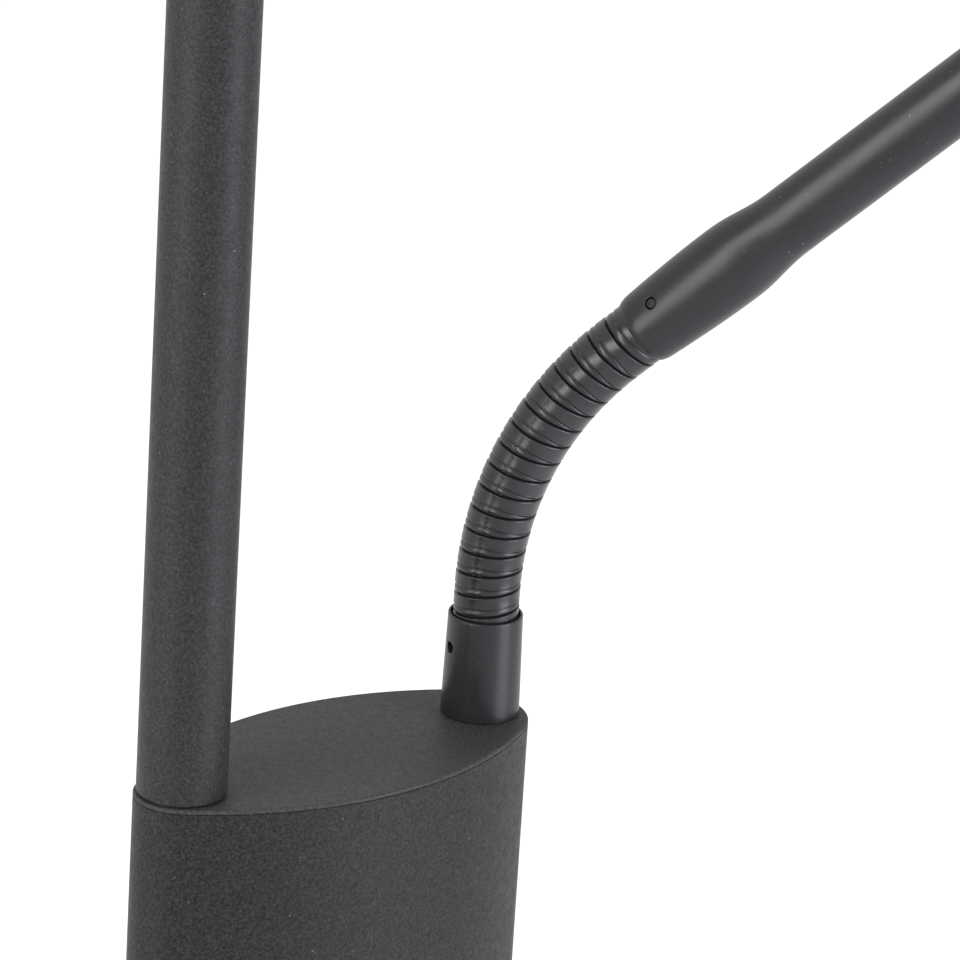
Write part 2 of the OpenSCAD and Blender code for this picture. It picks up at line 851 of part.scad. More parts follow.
module head_tilt_screw() {
  side = tongue_t / 2 + ear_gap + ear_t;
  color(zinc) at_head() rotate([90, 0, 0]) difference() {
    union() {
      translate([0, 0, -side - 2]) cylinder(r = pin_r, h = 2 * side + 2.5);
      translate([0, 0, side]) cylinder(r = 3.6, h = 2.2);
      translate([0, 0, -side - 2.4]) cylinder(r = 4, h = 2.4, $fn = 6);
    }
    translate([0, 0, side + 1.2]) cylinder(r = 1.6, h = 3, $fn = 6);
  }
}

module head_led_board() {
  color(board_white) at_head() translate([0, 0, head_board_at]) {
    cylinder(r = head_r - head_wall - 0.2, h = 1.6);
    for (x = [-8, 0, 8], y = [-8, 0, 8]) translate([x - 1.75, y - 1.75, 1]) cube([3.5, 3.5, 1.5]);
  }
}

module head_lens() {
  depth = head_front - 0.8 - head_board_at - 1.6;
  color(opal) at_head() translate([0, 0, head_board_at + 1.6]) difference() {
    cylinder(r = head_r - head_wall - 0.1, h = depth);
    translate([0, 0, -1]) cylinder(r = head_r - head_wall - 1.6, h = depth - lens_t + 1);
  }
}

// Wiring

module supply_lead() {
  x1 = housing_x - driver_size[0] / 2;
  color(lead_black) {
    translate([0, 0, felt_t + 2]) lead_run(supply_exit_z - felt_t - 2);
    translate([0, 0, supply_exit_z]) lead_quarter();
    translate([lead_bend_r, 0, supply_exit_z + lead_bend_r]) rotate([0, 90, 0])
      lead_run(x1 - lead_bend_r + 3);
  }
}

module uplight_lead() {
  x1 = housing_x - driver_size[0] / 2;
  top = sink_z + sink_t + nut_h + 4;
  color(lead_black) {
    translate([0, 0, uplight_exit_z + lead_bend_r]) lead_run(top - uplight_exit_z - lead_bend_r);
    translate([0, 0, uplight_exit_z + lead_bend_r]) rotate([180, 0, 0]) lead_quarter();
    translate([lead_bend_r, 0, uplight_exit_z]) rotate([0, 90, 0]) lead_run(x1 - lead_bend_r + 3);
  }
}

module reading_lead() {
  x0 = housing_x + driver_size[0] / 2 - 3;
  rise_z = reading_exit_z + lead_bend_r;
  color(lead_black) {
    translate([x0, 0, reading_exit_z]) rotate([0, 90, 0]) lead_run(arm_offset - lead_bend_r - x0);
    translate([arm_offset, 0, rise_z]) rotate([0, 180, 0]) lead_quarter();
    translate([arm_offset, 0, rise_z]) lead_run(arc_z - rise_z);
    translate([arm_offset, 0, arc_z]) rotate([0, 0, neck_heading]) translate([arc_r, 0, 0])
      rotate([90, 0, 0]) rotate([0, 0, 180 - rest_bend])
        rotate_extrude(angle = rest_bend, $fn = 360) translate([arc_r, 0]) circle(r = lead_r - 0.1, $fn = 48);
    on_arm(turn_pitch / 2) lead_run(arm_end - turn_pitch / 2 - 1);
  }
}

base_felt_pad();
base_ballast();
base_cover();
base_washer();
base_nut();
cord_inlet_bush();
lower_pole();
middle_pole();
upper_pole();
pole_inserts();
pole_studs();
upper_pole_washer();
housing_bottom_cap();
housing_shell();
housing_top_cap();
housing_tie_tube();
housing_tie_nuts();
bottom_cap_screws();
driver_unit();
uplight_dimmer();
reading_dimmer();
dimmer_nuts();
uplight_knob();
uplight_knob_shaft();
reading_knob();
reading_knob_shaft();
uplight_bowl();
uplight_heat_sink();
uplight_nut();
uplight_led_board();
uplight_diffuser();
neck_socket();
neck_socket_nut();
neck_socket_screw();
neck_root();
neck_turn(1);  // neck_turn_01
neck_turn(2);  // neck_turn_02
neck_turn(3);  // neck_turn_03
neck_turn(4);  // neck_turn_04
neck_turn(5);  // neck_turn_05
neck_turn(6);  // neck_turn_06
neck_turn(7);  // neck_turn_07
neck_turn(8);  // neck_turn_08
neck_turn(9);  // neck_turn_09
neck_turn(10);  // neck_turn_10
neck_turn(11);  // neck_turn_11
neck_turn(12);  // neck_turn_12
neck_turn(13);  // neck_turn_13
neck_tip();
arm_tube();
arm_screws();
head_swivel();
head_shell();
head_tilt_screw();
head_led_board();
head_lens();
supply_lead();
uplight_lead();
reading_lead();
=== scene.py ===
import json
import math

import bpy
import numpy as np
from mathutils import Matrix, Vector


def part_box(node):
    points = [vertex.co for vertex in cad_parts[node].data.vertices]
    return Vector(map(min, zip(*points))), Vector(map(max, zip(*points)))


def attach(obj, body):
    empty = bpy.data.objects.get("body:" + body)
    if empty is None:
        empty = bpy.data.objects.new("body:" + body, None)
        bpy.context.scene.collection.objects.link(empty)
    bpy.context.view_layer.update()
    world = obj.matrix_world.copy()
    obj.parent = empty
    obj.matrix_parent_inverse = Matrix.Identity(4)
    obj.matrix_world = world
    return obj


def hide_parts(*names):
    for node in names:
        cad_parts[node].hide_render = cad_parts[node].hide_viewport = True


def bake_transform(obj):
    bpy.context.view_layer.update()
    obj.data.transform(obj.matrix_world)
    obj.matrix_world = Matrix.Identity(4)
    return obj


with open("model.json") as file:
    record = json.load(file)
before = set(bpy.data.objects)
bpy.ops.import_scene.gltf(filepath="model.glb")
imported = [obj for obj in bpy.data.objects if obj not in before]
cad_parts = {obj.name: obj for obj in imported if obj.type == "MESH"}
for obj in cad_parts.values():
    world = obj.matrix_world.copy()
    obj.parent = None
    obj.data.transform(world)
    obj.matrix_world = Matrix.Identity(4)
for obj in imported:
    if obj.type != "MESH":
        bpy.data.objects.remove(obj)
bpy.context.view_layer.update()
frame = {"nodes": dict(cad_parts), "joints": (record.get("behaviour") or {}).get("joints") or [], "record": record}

bl_info = {
    "name": "Floor lamp with a reading arm",
    "version": (1, 0, 0),
    "blender": (4, 5, 0),
    "location": "3D View > Sidebar > Lamp",
    "description": "Dresses a floor lamp: wound neck, swaged arm, coated metal and a studio stage",
    "category": "Add Mesh",
}

NODES = frame["nodes"]
JOINTS = {j["name"]: j for j in frame["joints"]}
BENDS = sorted(n for n in JOINTS if n.startswith("neck_bend_"))


# Places taken from the frame

def joint_point(name):
    """The rest position of a joint, as an array in metres."""
    return np.array(JOINTS[name]["pos_m"], float)


X_AXIS, Y_AXIS, Z_AXIS = np.eye(3)
BEND_POINTS = np.array([joint_point(n) for n in BENDS])
BEND_AXIS = np.array(JOINTS[BENDS[0]]["axis"], float)
ARM_AXIS = np.array(JOINTS["head_turn"]["axis"], float)
TURN_PITCH = float(np.linalg.norm(BEND_POINTS[1] - BEND_POINTS[0]))
REST_BEND = float(math.acos(ARM_AXIS[2]))
BEND_STEP = REST_BEND / len(BENDS)
ARC_RADIUS = (TURN_PITCH / 2) / math.tan(BEND_STEP / 2)
ARC_STEP = ARC_RADIUS * BEND_STEP
NECK_END = len(BENDS) * ARC_STEP
HOUSING_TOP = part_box("housing_shell")[1][2]
CAP_LOW, CAP_HIGH = (np.array(c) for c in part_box("housing_top_cap"))


class LampSizes(bpy.types.PropertyGroup):
    """Sizes of the dressed pieces that a user may change."""

    neck_diameter: bpy.props.FloatProperty(
        name="Neck diameter", description="Outer diameter of the wound neck",
        default=0.0168, min=0.012, max=0.0169, unit="LENGTH")
    neck_groove: bpy.props.FloatProperty(
        name="Groove depth", description="Depth of the groove between two turns of the neck",
        default=0.0010, min=0.0002, max=0.0015, unit="LENGTH")
    neck_start: bpy.props.FloatProperty(
        name="Winding start", description="Turn of the winding where it leaves the socket",
        default=25.0, min=-180.0, max=180.0)
    lip_diameter: bpy.props.FloatProperty(
        name="Sleeve lip", description="Diameter of the sleeve at its lip",
        default=0.0186, min=0.0180, max=0.02, unit="LENGTH")
    belly_diameter: bpy.props.FloatProperty(
        name="Sleeve belly", description="Largest diameter of the sleeve",
        default=0.0206, min=0.0186, max=0.024, unit="LENGTH")
    tube_diameter: bpy.props.FloatProperty(
        name="Arm tube", description="Diameter of the arm tube",
        default=0.0174, min=0.0168, max=0.018, unit="LENGTH")
    cap_edge: bpy.props.FloatProperty(
        name="Cap edge", description="Rounding of the housing cap's upper edge",
        default=0.0005, min=0.0002, max=0.0008, unit="LENGTH")


class LampColours(bpy.types.PropertyGroup):
    """Colours of the lamp's finishes that a user may change."""

    coat: bpy.props.FloatVectorProperty(
        name="Sand coat", description="Colour of the textured powder coat",
        subtype="COLOR", size=3, min=0.0, max=1.0, default=(0.0205, 0.0204, 0.0208))
    satin: bpy.props.FloatVectorProperty(
        name="Satin coat", description="Colour of the smooth satin coat",
        subtype="COLOR", size=3, min=0.0, max=1.0, default=(0.0150, 0.0149, 0.0172))
    neck: bpy.props.FloatVectorProperty(
        name="Neck coat", description="Colour of the wound neck",
        subtype="COLOR", size=3, min=0.0, max=1.0, default=(0.0150, 0.0149, 0.0172))
    cap: bpy.props.FloatVectorProperty(
        name="Cap coat", description="Colour of the housing cap's fine matte coat",
        subtype="COLOR", size=3, min=0.0, max=1.0, default=(0.0365, 0.0365, 0.0365))
    floor: bpy.props.FloatVectorProperty(
        name="Floor", description="Colour of the studio floor",
        subtype="COLOR", size=3, min=0.0, max=1.0, default=(0.80, 0.80, 0.80))


def sizes():
    """The sizes as they are set in the scene."""
    return bpy.context.scene.lamp_sizes


def colours():
    """The colours as they are set in the scene."""
    return bpy.context.scene.lamp_colours


# Mesh helpers

def quad_grid(rows, cols, wrap_rows=False, wrap_cols=False):
    """Corner numbers of the quads of a rows x cols grid of points, as an array (row, column, corner)."""
    r = np.arange(rows if wrap_rows else rows - 1)[:, None]
    c = np.arange(cols if wrap_cols else cols - 1)[None, :]
    up, on = (r + 1) % rows, (c + 1) % cols
    return np.stack([r * cols + c, r * cols + on, up * cols + on, up * cols + c], -1)


def lid_quads(cols):
    """Corner numbers of a strip of quads that closes a ring of an even count of points."""
    flat = np.arange(cols // 2 - 1)
    return np.stack([flat, flat + 1, cols - 2 - flat, cols - 1 - flat], 1)


def add_piece(name, points, quads, sharp_deg=35.0):
    """A smooth-shaded mesh object from an array of points and an array of quads."""
    mesh = bpy.data.meshes.new(name)
    points = np.asarray(points, np.float32).reshape(-1, 3)
    quads = np.asarray(quads, np.int32).reshape(-1, 4)
    mesh.vertices.add(len(points))
    mesh.vertices.foreach_set("co", points.ravel())
    mesh.loops.add(quads.size)
    mesh.loops.foreach_set("vertex_index", quads.ravel())
    mesh.polygons.add(len(quads))
    mesh.polygons.foreach_set("loop_start", np.arange(0, quads.size, 4, dtype=np.int32))
    mesh.polygons.foreach_set("use_smooth", np.ones(len(quads), bool))
    mesh.update(calc_edges=True)
    if mesh.validate():
        raise RuntimeError("piece %s has faces that are not sound" % name)
    mesh.set_sharp_from_angle(angle=math.radians(sharp_deg))
    obj = bpy.data.objects.new(name, mesh)
    bpy.context.scene.collection.objects.link(obj)
    return obj


def place(obj, body, slot, finish, *nodes):
    """Hands a finished piece over: the body it rides on, its slot (not used), its finish and the nodes it stands
    for.
    """
    obj.data.materials.append(finish)
    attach(obj, body)
    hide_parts(*nodes)


def cross_frame(axis, hint):
    """Two unit vectors square to an axis, the first of them leaning towards the hint."""
    axis = axis / np.linalg.norm(axis)
    first = hint - axis * (hint @ axis)
    first = first / np.linalg.norm(first)
    return first, np.cross(axis, first)


def edge_arc(corner, radius, start_deg, end_deg, steps=6):
    """Rows (r, z) of a rounded edge: corner + radius (cos a, sin a) for a from start to end."""
    a = np.radians(np.linspace(start_deg, end_deg, steps))
    return np.stack([corner[0] + radius * np.cos(a), corner[1] + radius * np.sin(a)], 1)


def wall_rows(r0, z0, r1, z1, count):
    """Rows (r, z) of a straight wall, without its two ends."""
    share = np.linspace(0.0, 1.0, count + 2)[1:-1]
    return np.stack([r0 + (r1 - r0) * share, z0 + (z1 - z0) * share], 1)


# Drilled holes: radius, rows of the wall about a hole and how far they reach from its middle, half the width
# of the block of quads left out for it, in columns, and the steps of its rim and of its bore

HOLE_RADIUS = 0.0015
HOLE_ROWS, HOLE_REACH, HOLE_HALF = 11, 0.0024, 7
RIM_LEADS, RIM_ANGLES, BORE_LEADS = (0.35, 0.7, 1.0), (0.52, 1.05, 1.57), (1.0, 0.5)


def hole_heights(z):
    """Heights of the rows about a drilled hole."""
    return z + np.linspace(-HOLE_REACH, HOLE_REACH, HOLE_ROWS)


def hole_span(first):
    """First and last row of the block left out for a hole."""
    return first, first + HOLE_ROWS - 1


def block_edge(tall):
    """Columns and rows around the edge of a hole's block, counted from its middle column and its first row."""
    half = HOLE_HALF
    across = np.concatenate([
        np.arange(-half, half), np.full(tall, half), np.arange(half, -half, -1), np.full(tall, -half)])
    along = np.concatenate([
        np.zeros(2 * half, int), np.arange(tall), np.full(2 * half, tall), np.arange(tall, 0, -1)])
    return across, along


def rim_places(edge, z, turn, lead, circle, sink=0.0):
    """Places between a block's edge (lead 0) and a circle about its hole (lead 1), sunk below the wall.

    edge holds the rows (r, z) of the block's edge, and turn their angles from the hole. The places are given
    along the lathe's axis, outwards and sideways.
    """
    r_edge, z_edge = edge[:, 0], edge[:, 1]
    x, y = r_edge * np.sin(turn), z_edge - z
    angle = np.arctan2(y, x)
    x = (1 - lead) * x + lead * circle * np.cos(angle)
    y = (1 - lead) * y + lead * circle * np.sin(angle)
    order = np.argsort(z_edge)
    wall = np.interp(z + y, z_edge[order], r_edge[order])
    return z + y, np.sqrt(wall ** 2 - x ** 2) - sink, x


def lathe_solid(name, origin, axis, hint, loop, steps, holes=()):
    """A solid of revolution from a closed loop of rows (r, z), with round holes drilled square to its axis.

    Point (i, j) = origin + z_i axis + r_i (cos t_j first + sin t_j second) with t_j = 2 pi j / steps. For a
    hole (z, angle, radius, rim, outer rows, bore rows) a block of quads is left out of the outer wall and of
    the bore, and a ruled tube runs from the one gap over the rounded rim of the hole to the other.
    """
    first, second = cross_frame(axis, hint)
    t = np.arange(steps) * 2 * math.pi / steps
    ring = np.cos(t)[:, None] * first + np.sin(t)[:, None] * second
    loop = np.asarray(loop, float)
    points = [(origin + loop[:, 1, None, None] * axis + loop[:, 0, None, None] * ring).reshape(-1, 3)]
    quads = quad_grid(len(loop), steps, wrap_rows=True, wrap_cols=True)
    keep = np.ones(quads.shape[:2], bool)
    tubes = []
    made = len(points[0])
    for z, angle_deg, radius, rim, outer, bore in holes:
        column = int(round(angle_deg * steps / 360.0)) % steps
        gap = (column + np.arange(-HOLE_HALF, HOLE_HALF)) % steps
        keep[outer[0]:outer[1], gap] = False
        keep[bore[0]:bore[1], gap] = False
        across, along = block_edge(outer[1] - outer[0])
        at = math.radians(angle_deg)
        out = math.cos(at) * first + math.sin(at) * second
        side = np.cross(axis, out)
        turn = t[column] - at + across * 2 * math.pi / steps
        outer_rows, bore_rows = outer[0] + along, bore[1] - along
        edge, inner = loop[outer_rows], loop[bore_rows]
        places = [rim_places(edge, z, turn, lead, radius + rim) for lead in RIM_LEADS]
        places += [rim_places(edge, z, turn, 1.0, radius + rim * (1 - math.sin(a)), rim * (1 - math.cos(a)))
                   for a in RIM_ANGLES]
        places += [rim_places(inner, z, turn, lead, radius) for lead in BORE_LEADS]
        rows = [origin + high[:, None] * axis + depth[:, None] * out + x[:, None] * side
                for high, depth, x in places]
        count = len(across)
        fresh = made + np.arange(len(rows) * count).reshape(len(rows), count)
        columns = (column + across) % steps
        numbers = np.concatenate([
            (outer_rows * steps + columns)[None, :], fresh, (bore_rows * steps + columns)[None, :]])
        tube = quad_grid(len(numbers), count, wrap_cols=True)
        tubes.append(numbers.ravel()[tube].reshape(-1, 4))
        points.append(np.concatenate(rows))
        made += len(points[-1])
    return add_piece(name, np.concatenate(points), np.concatenate([quads[keep]] + tubes))


# Wound neck: shares of a turn and depths in metres for the profile of one turn, in turns how the winding parts
# along the bend, and the lengths of its root and tip

GROOVE_SHARE, GROOVE_PARTS = 0.095, 0.020
BEAD_SHARE, BEAD_LOOSE = 0.285, 0.09
CREASE_SHARE, CREASE_DEPTH = 0.060, 0.00047
CLOSES_BY = 0.95
CUT_START, CUT_FALL, CUT_MIDDLE = 0.00040, 0.00010, 0.00045
BEAD_FOOT, BEAD_LEAN, BEAD_SINK, BEAD_RISE = 0.00045, 0.00006, 0.00015, 0.00037
BAND_HOLLOW, BAND_FLAT, BAND_EDGE = 0.00005, 0.84, 0.16
BAND_LOW_DROP, BAND_HIGH_DROP = 0.00014, 0.00028
SLACK_FROM, SLACK_OVER, SLACK_SHARE = 2.2, 9.1, 0.34
PARTED_OVER = 7
LOOSE_BEFORE = 0.35
ROOT_LENGTH, TIP_LENGTH = 0.0150, 0.0090


def neck_line(s):
    """Centre line of the neck at lengths s from the middle of its root turn, with its tangent and outer normal.

    Below 0 it runs straight down, between 0 and ARC_RADIUS * REST_BEND it is a circular arc in the bend's
    plane, and past that it runs straight along the arm.
    """
    heading = np.cross(BEND_AXIS, Z_AXIS)
    up = Z_AXIS
    start = BEND_POINTS[0] - up * TURN_PITCH / 2
    arc = np.clip(s / ARC_RADIUS, 0.0, REST_BEND)
    before = np.minimum(s, 0.0)
    after = np.maximum(s - ARC_RADIUS * REST_BEND, 0.0)
    tangent = np.sin(arc)[:, None] * heading + np.cos(arc)[:, None] * up
    outer = -np.cos(arc)[:, None] * heading + np.sin(arc)[:, None] * up
    centre = (start + ARC_RADIUS * (1 - np.cos(arc))[:, None] * heading + ARC_RADIUS * np.sin(arc)[:, None] * up
              + before[:, None] * up + after[:, None] * tangent)
    return centre, tangent, outer


def winding_offset(u, opened, loose, groove):
    """Radial offset over one turn, u from 0 to 1: a groove, a round bead, a crease and a wide hollow band.

    opened is 1 on the outside of the bend, where the turns part and the bead stands up, and -1 on the inside,
    where they close over it. loose is 1 at the last turn, where more of the bead shows.
    """
    closed = np.clip(-opened, 0.0, 1.0) * (1 - loose)
    shown = 1 - CLOSES_BY * closed
    groove_to = GROOVE_SHARE + GROOVE_PARTS * opened
    bead_to = groove_to + (BEAD_SHARE + BEAD_LOOSE * loose) * shown
    band_from = bead_to + CREASE_SHARE * shown
    way = np.clip(u / groove_to, 0, 1)
    cut = -CUT_START - CUT_FALL * way - (groove - CUT_MIDDLE) * np.sin(way * math.pi)
    x = np.clip((u - groove_to) / (bead_to - groove_to), 0, 1) * 2 - 1
    bead = -BEAD_FOOT - BEAD_LEAN * x - BEAD_SINK * closed + BEAD_RISE * np.sqrt(np.clip(1 - x * x, 0, 1))
    crease = np.full_like(u, -CREASE_DEPTH)
    y = np.clip((u - band_from) / (1 - band_from), 0, 1) * 2 - 1
    edge = np.where(y < 0, BAND_LOW_DROP, BAND_HIGH_DROP)
    band = BAND_HOLLOW * (y ** 2 - 1) - edge * np.clip((np.abs(y) - BAND_FLAT) / BAND_EDGE, 0, 1) ** 2
    return np.select([u < groove_to, u < bead_to, u < band_from], [cut, bead, crease], band)


def winding_skin(s, steps, size):
    """Outer skin of the wound neck: its radius is R + w(frac(s / pitch - slack - t / 2 pi + start)).

    t is counted from the outside of the bend, and the minus sign makes the helix right-handed. The slack is the
    share of a turn by which the winding lags where the bend has drawn it apart, 3 x x - 2 x x x along the bend.
    """
    centre, tangent, outer = neck_line(s)
    side = np.cross(tangent, outer)
    t = np.arange(steps) * 2 * math.pi / steps
    x = np.clip((s - SLACK_FROM * TURN_PITCH) / (SLACK_OVER * TURN_PITCH), 0.0, 1.0)
    slack = SLACK_SHARE * x * x * (3 - 2 * x)
    turn = np.mod((s / TURN_PITCH - slack)[:, None] - t / (2 * math.pi) + size.neck_start / 360.0, 1.0)
    ease = np.clip((s + TURN_PITCH) / (PARTED_OVER * TURN_PITCH), 0.0, 1.0)
    opened = ease[:, None] * np.cos(t)
    last = np.clip((s - ARC_RADIUS * REST_BEND) / TURN_PITCH + LOOSE_BEFORE, 0.0, 1.0)
    loose = (last * last * (3 - 2 * last))[:, None] + 0 * opened
    radius = size.neck_diameter / 2 + winding_offset(turn, opened, loose, size.neck_groove)
    ring = np.cos(t)[None, :, None] * outer[:, None, :] + np.sin(t)[None, :, None] * side[:, None, :]
    return centre[:, None, :] + radius[:, :, None] * ring, centre[:, None, :] + 0 * ring, ring


def winding_piece(name, s0, s1, rows, steps=192, bore=0.0058):
    """A closed length of the wound neck between two lengths along its line: skin, flat ends and a plain bore.

    The skin's normals are the cross products of its differences along t and s, taken one row past each end,
    so that the lengths of the neck shade as one.
    """
    step = (s1 - s0) / (rows - 1)
    skin, centre, ring = winding_skin(s0 + step * np.arange(-1, rows + 1), steps, sizes())
    along = skin[2:] - skin[:-2]
    around = np.roll(skin, -1, 1)[1:-1] - np.roll(skin, 1, 1)[1:-1]
    normal = np.cross(around, along)
    normal = normal / np.linalg.norm(normal, axis=2, keepdims=True)
    skin, centre, ring = skin[1:-1], centre[1:-1], ring[1:-1]
    inner = np.linspace(rows - 1, 0, num=5).round().astype(int)
    shell = np.concatenate([skin, centre[inner] + bore * ring[inner]], 0)
    quads = quad_grid(len(shell), steps, wrap_rows=True, wrap_cols=True)
    piece = add_piece(name, shell, quads)
    flat = np.zeros(len(piece.data.polygons) * 3, np.float32)
    piece.data.polygons.foreach_get("normal", flat)
    corner = np.repeat(flat.reshape(len(shell), steps, 1, 3), 4, 2)
    vertex = np.concatenate([normal, -ring[inner]], 0).reshape(-1, 3)
    corner[:rows - 1] = vertex[quads[:rows - 1]]
    corner[rows:-1] = vertex[quads[rows:-1]]
    piece.data.normals_split_custom_set(corner.reshape(-1, 3))
    return piece


class LAMP_OT_wound_neck(bpy.types.Operator):
    """Winds the flexible neck, one length for each joint"""

    bl_idname = "lamp.wound_neck"
    bl_label = "Wound neck"

    def execute(self, context):
        finish = satin_finish("neck_satin", tuple(colours().neck), rough=0.28, specular=0.45)
        root = winding_piece("neck_winding_root", -ROOT_LENGTH, 0.0, rows=161)
        place(root, "neck_base", "satin_black", finish, "neck_root")
        tip = winding_piece("neck_winding_tip", NECK_END, NECK_END + TIP_LENGTH, rows=97)
        place(tip, "arm", "satin_black", finish, "neck_tip")
        for k in range(len(BENDS)):
            piece = winding_piece("neck_winding_%02d" % (k + 1), k * ARC_STEP, (k + 1) * ARC_STEP, rows=58)
            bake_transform(piece)
            if k < len(BENDS) - 1:
                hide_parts("neck_turn_%02d" % (k + 1))
            piece.data.materials.append(finish)
        return {"FINISHED"}


# Lead of the reading light: its radius, the radius of its turn in the housing, and the gap before the swivel

LEAD_RADIUS, LEAD_TURN, LEAD_GAP = 0.0024, 0.01, 0.001


def lead_length(name, centre, tangent, side, steps=24):
    """A closed length of round lead: c(s) + r (cos t side x tangent + sin t side), square to its tangent."""
    t = np.arange(steps) * 2 * math.pi / steps
    across = np.cross(side, tangent)
    ring = np.cos(t)[None, :, None] * across[:, None, :] + np.sin(t)[None, :, None] * side
    points = centre[:, None, :] + LEAD_RADIUS * ring
    lid = lid_quads(steps)
    quads = quad_grid(len(points), steps, wrap_cols=True).reshape(-1, 4)
    return add_piece(name, points, np.concatenate([quads, lid[:, ::-1], lid + (len(points) - 1) * steps]))


class LAMP_OT_reading_lead(bpy.types.Operator):
    """Runs the reading light's lead from its driver through neck and arm, one length for each joint"""

    bl_idname = "lamp.reading_lead"
    bl_label = "Reading lead"

    def execute(self, context):
        finish = NODES["reading_lead"].data.materials[0]
        low = np.array(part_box("reading_lead")[0])
        foot = neck_line(np.zeros(1))[0][0]
        level = low[2] + LEAD_RADIUS
        a = np.linspace(0.0, math.pi / 2, num=13)
        x = np.concatenate([[low[0]], foot[0] - LEAD_TURN + LEAD_TURN * np.sin(a), [foot[0]]])
        z = np.concatenate([[level], level + LEAD_TURN - LEAD_TURN * np.cos(a), [foot[2]]])
        heading = np.concatenate([[0.0], a, [math.pi / 2]])
        centre = np.stack([x, np.full(len(x), foot[1]), z], 1)
        tangent = np.stack([np.cos(heading), np.zeros(len(x)), np.sin(heading)], 1)
        root = lead_length("reading_lead_root", centre, tangent, Y_AXIS)
        place(root, "lamp_body", "lead_sheath", finish, "reading_lead")
        reach = float((joint_point("head_turn") - BEND_POINTS[-1]) @ ARM_AXIS)
        far = NECK_END + reach - TURN_PITCH / 2 - LEAD_GAP
        run = lead_length("reading_lead_run", *neck_line(np.linspace(NECK_END, far, num=20))[:2], BEND_AXIS)
        place(run, "arm", "lead_sheath", finish, "reading_lead")
        for k in range(len(BENDS)):
            centre, tangent = neck_line(np.linspace(k * ARC_STEP, (k + 1) * ARC_STEP, num=7))[:2]
            piece = lead_length("reading_lead_%02d" % (k + 1), centre, tangent, BEND_AXIS)
            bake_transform(piece)
            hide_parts("reading_lead")
            piece.data.materials.append(finish)
        return {"FINISHED"}


# Arm with its swaged sleeve: the mouth's distance from the last bend, then distances from the mouth, and the
# gaps and edges of the tube

ARM_MOUTH, ARM_LENGTH = 0.0098, 0.430
NEAR_SCREW, FAR_SCREW = 0.0087, ARM_LENGTH - 0.010
NEAR_SCREW_DEG, FAR_SCREW_DEG = 360.0 - 125.5, 180.0
NEAR_RIM, FAR_RIM = 0.0003, 0.00015
NOSE_DEPTH, NOSE_LENGTH, NOSE_ROWS_TO = 0.0006, 0.0028, 0.0024
SWELL_FROM, SWELL_LENGTH = 0.0022, 0.026
DROP_FROM, DROP_LENGTH = 0.0294, 0.0167
SHOULDER_END = 0.049
TUBE_WALL, TUBE_EDGE = 0.0016, 0.0004
MOUTH_GAP, MOUTH_DEPTH, MOUTH_EDGE, MOUTH_FLARE = 0.00015, 0.0030, 0.0002, 0.00005


class LAMP_OT_arm(bpy.types.Operator):
    """Turns the arm tube with its swaged sleeve: a rolled lip, a slow swell, an S-shaped shoulder, the tube"""

    bl_idname = "lamp.arm"
    bl_label = "Arm tube"

    def sleeve_radius(self, z, size):
        """Radius at distance z from the mouth: a parabola, a quarter sine and half a cosine to the tube."""
        lip, belly, tube = size.lip_diameter / 2, size.belly_diameter / 2, size.tube_diameter / 2
        nose = lip - NOSE_DEPTH * (1 - np.clip(z / NOSE_LENGTH, 0, 1)) ** 2
        swell = nose + (belly - lip) * np.sin(np.clip((z - SWELL_FROM) / SWELL_LENGTH, 0, 1) * math.pi / 2)
        fall = np.clip((z - DROP_FROM) / DROP_LENGTH, 0, 1)
        drop = tube + (belly - tube) * (1 + np.cos(fall * math.pi)) / 2
        return np.where(z < DROP_FROM, swell, drop)

    def execute(self, context):
        size = sizes()
        bore = size.tube_diameter / 2 - TUBE_WALL
        mouth = size.neck_diameter / 2 + MOUTH_GAP
        nose = NOSE_ROWS_TO * (1 - np.cos(np.linspace(0.0, math.pi / 2, num=8)))
        tip_z = np.concatenate([nose, np.linspace(NOSE_ROWS_TO, NEAR_SCREW - HOLE_REACH, num=8)[1:-1]])
        outer_z = np.concatenate([
            tip_z, hole_heights(NEAR_SCREW),
            np.linspace(NEAR_SCREW + HOLE_REACH, SHOULDER_END, num=90)[1:],
            np.linspace(SHOULDER_END, FAR_SCREW - HOLE_REACH, num=60)[1:-1], hole_heights(FAR_SCREW)])
        inner_z = np.concatenate([
            hole_heights(FAR_SCREW)[::-1],
            np.linspace(FAR_SCREW - HOLE_REACH, NEAR_SCREW + HOLE_REACH, num=20)[1:-1],
            hole_heights(NEAR_SCREW)[::-1]])
        end = (size.tube_diameter / 2 - TUBE_EDGE, ARM_LENGTH - TUBE_EDGE)
        loop = [[(mouth + MOUTH_FLARE, 0.0)], np.stack([self.sleeve_radius(outer_z, size), outer_z], 1),
                edge_arc(end, TUBE_EDGE, 0, 90), [(bore, ARM_LENGTH)],
                np.stack([np.full_like(inner_z, bore), inner_z], 1),
                [(bore, MOUTH_DEPTH), (mouth, MOUTH_DEPTH), (mouth, MOUTH_EDGE)]]
        starts = np.cumsum([0] + [len(part) for part in loop])
        holes = [(NEAR_SCREW, NEAR_SCREW_DEG, HOLE_RADIUS, NEAR_RIM,
                  hole_span(starts[1] + len(tip_z)), hole_span(starts[5] - HOLE_ROWS)),
                 (FAR_SCREW, FAR_SCREW_DEG, HOLE_RADIUS, FAR_RIM,
                  hole_span(starts[2] - HOLE_ROWS), hole_span(starts[4]))]
        arm = lathe_solid("arm_tube_swaged", BEND_POINTS[-1] + ARM_AXIS * ARM_MOUTH, ARM_AXIS,
                          np.cross(BEND_AXIS, ARM_AXIS), np.concatenate(loop), steps=180, holes=holes)
        place(arm, "arm", "satin_black_light", arm_satin(), "arm_tube")
        return {"FINISHED"}


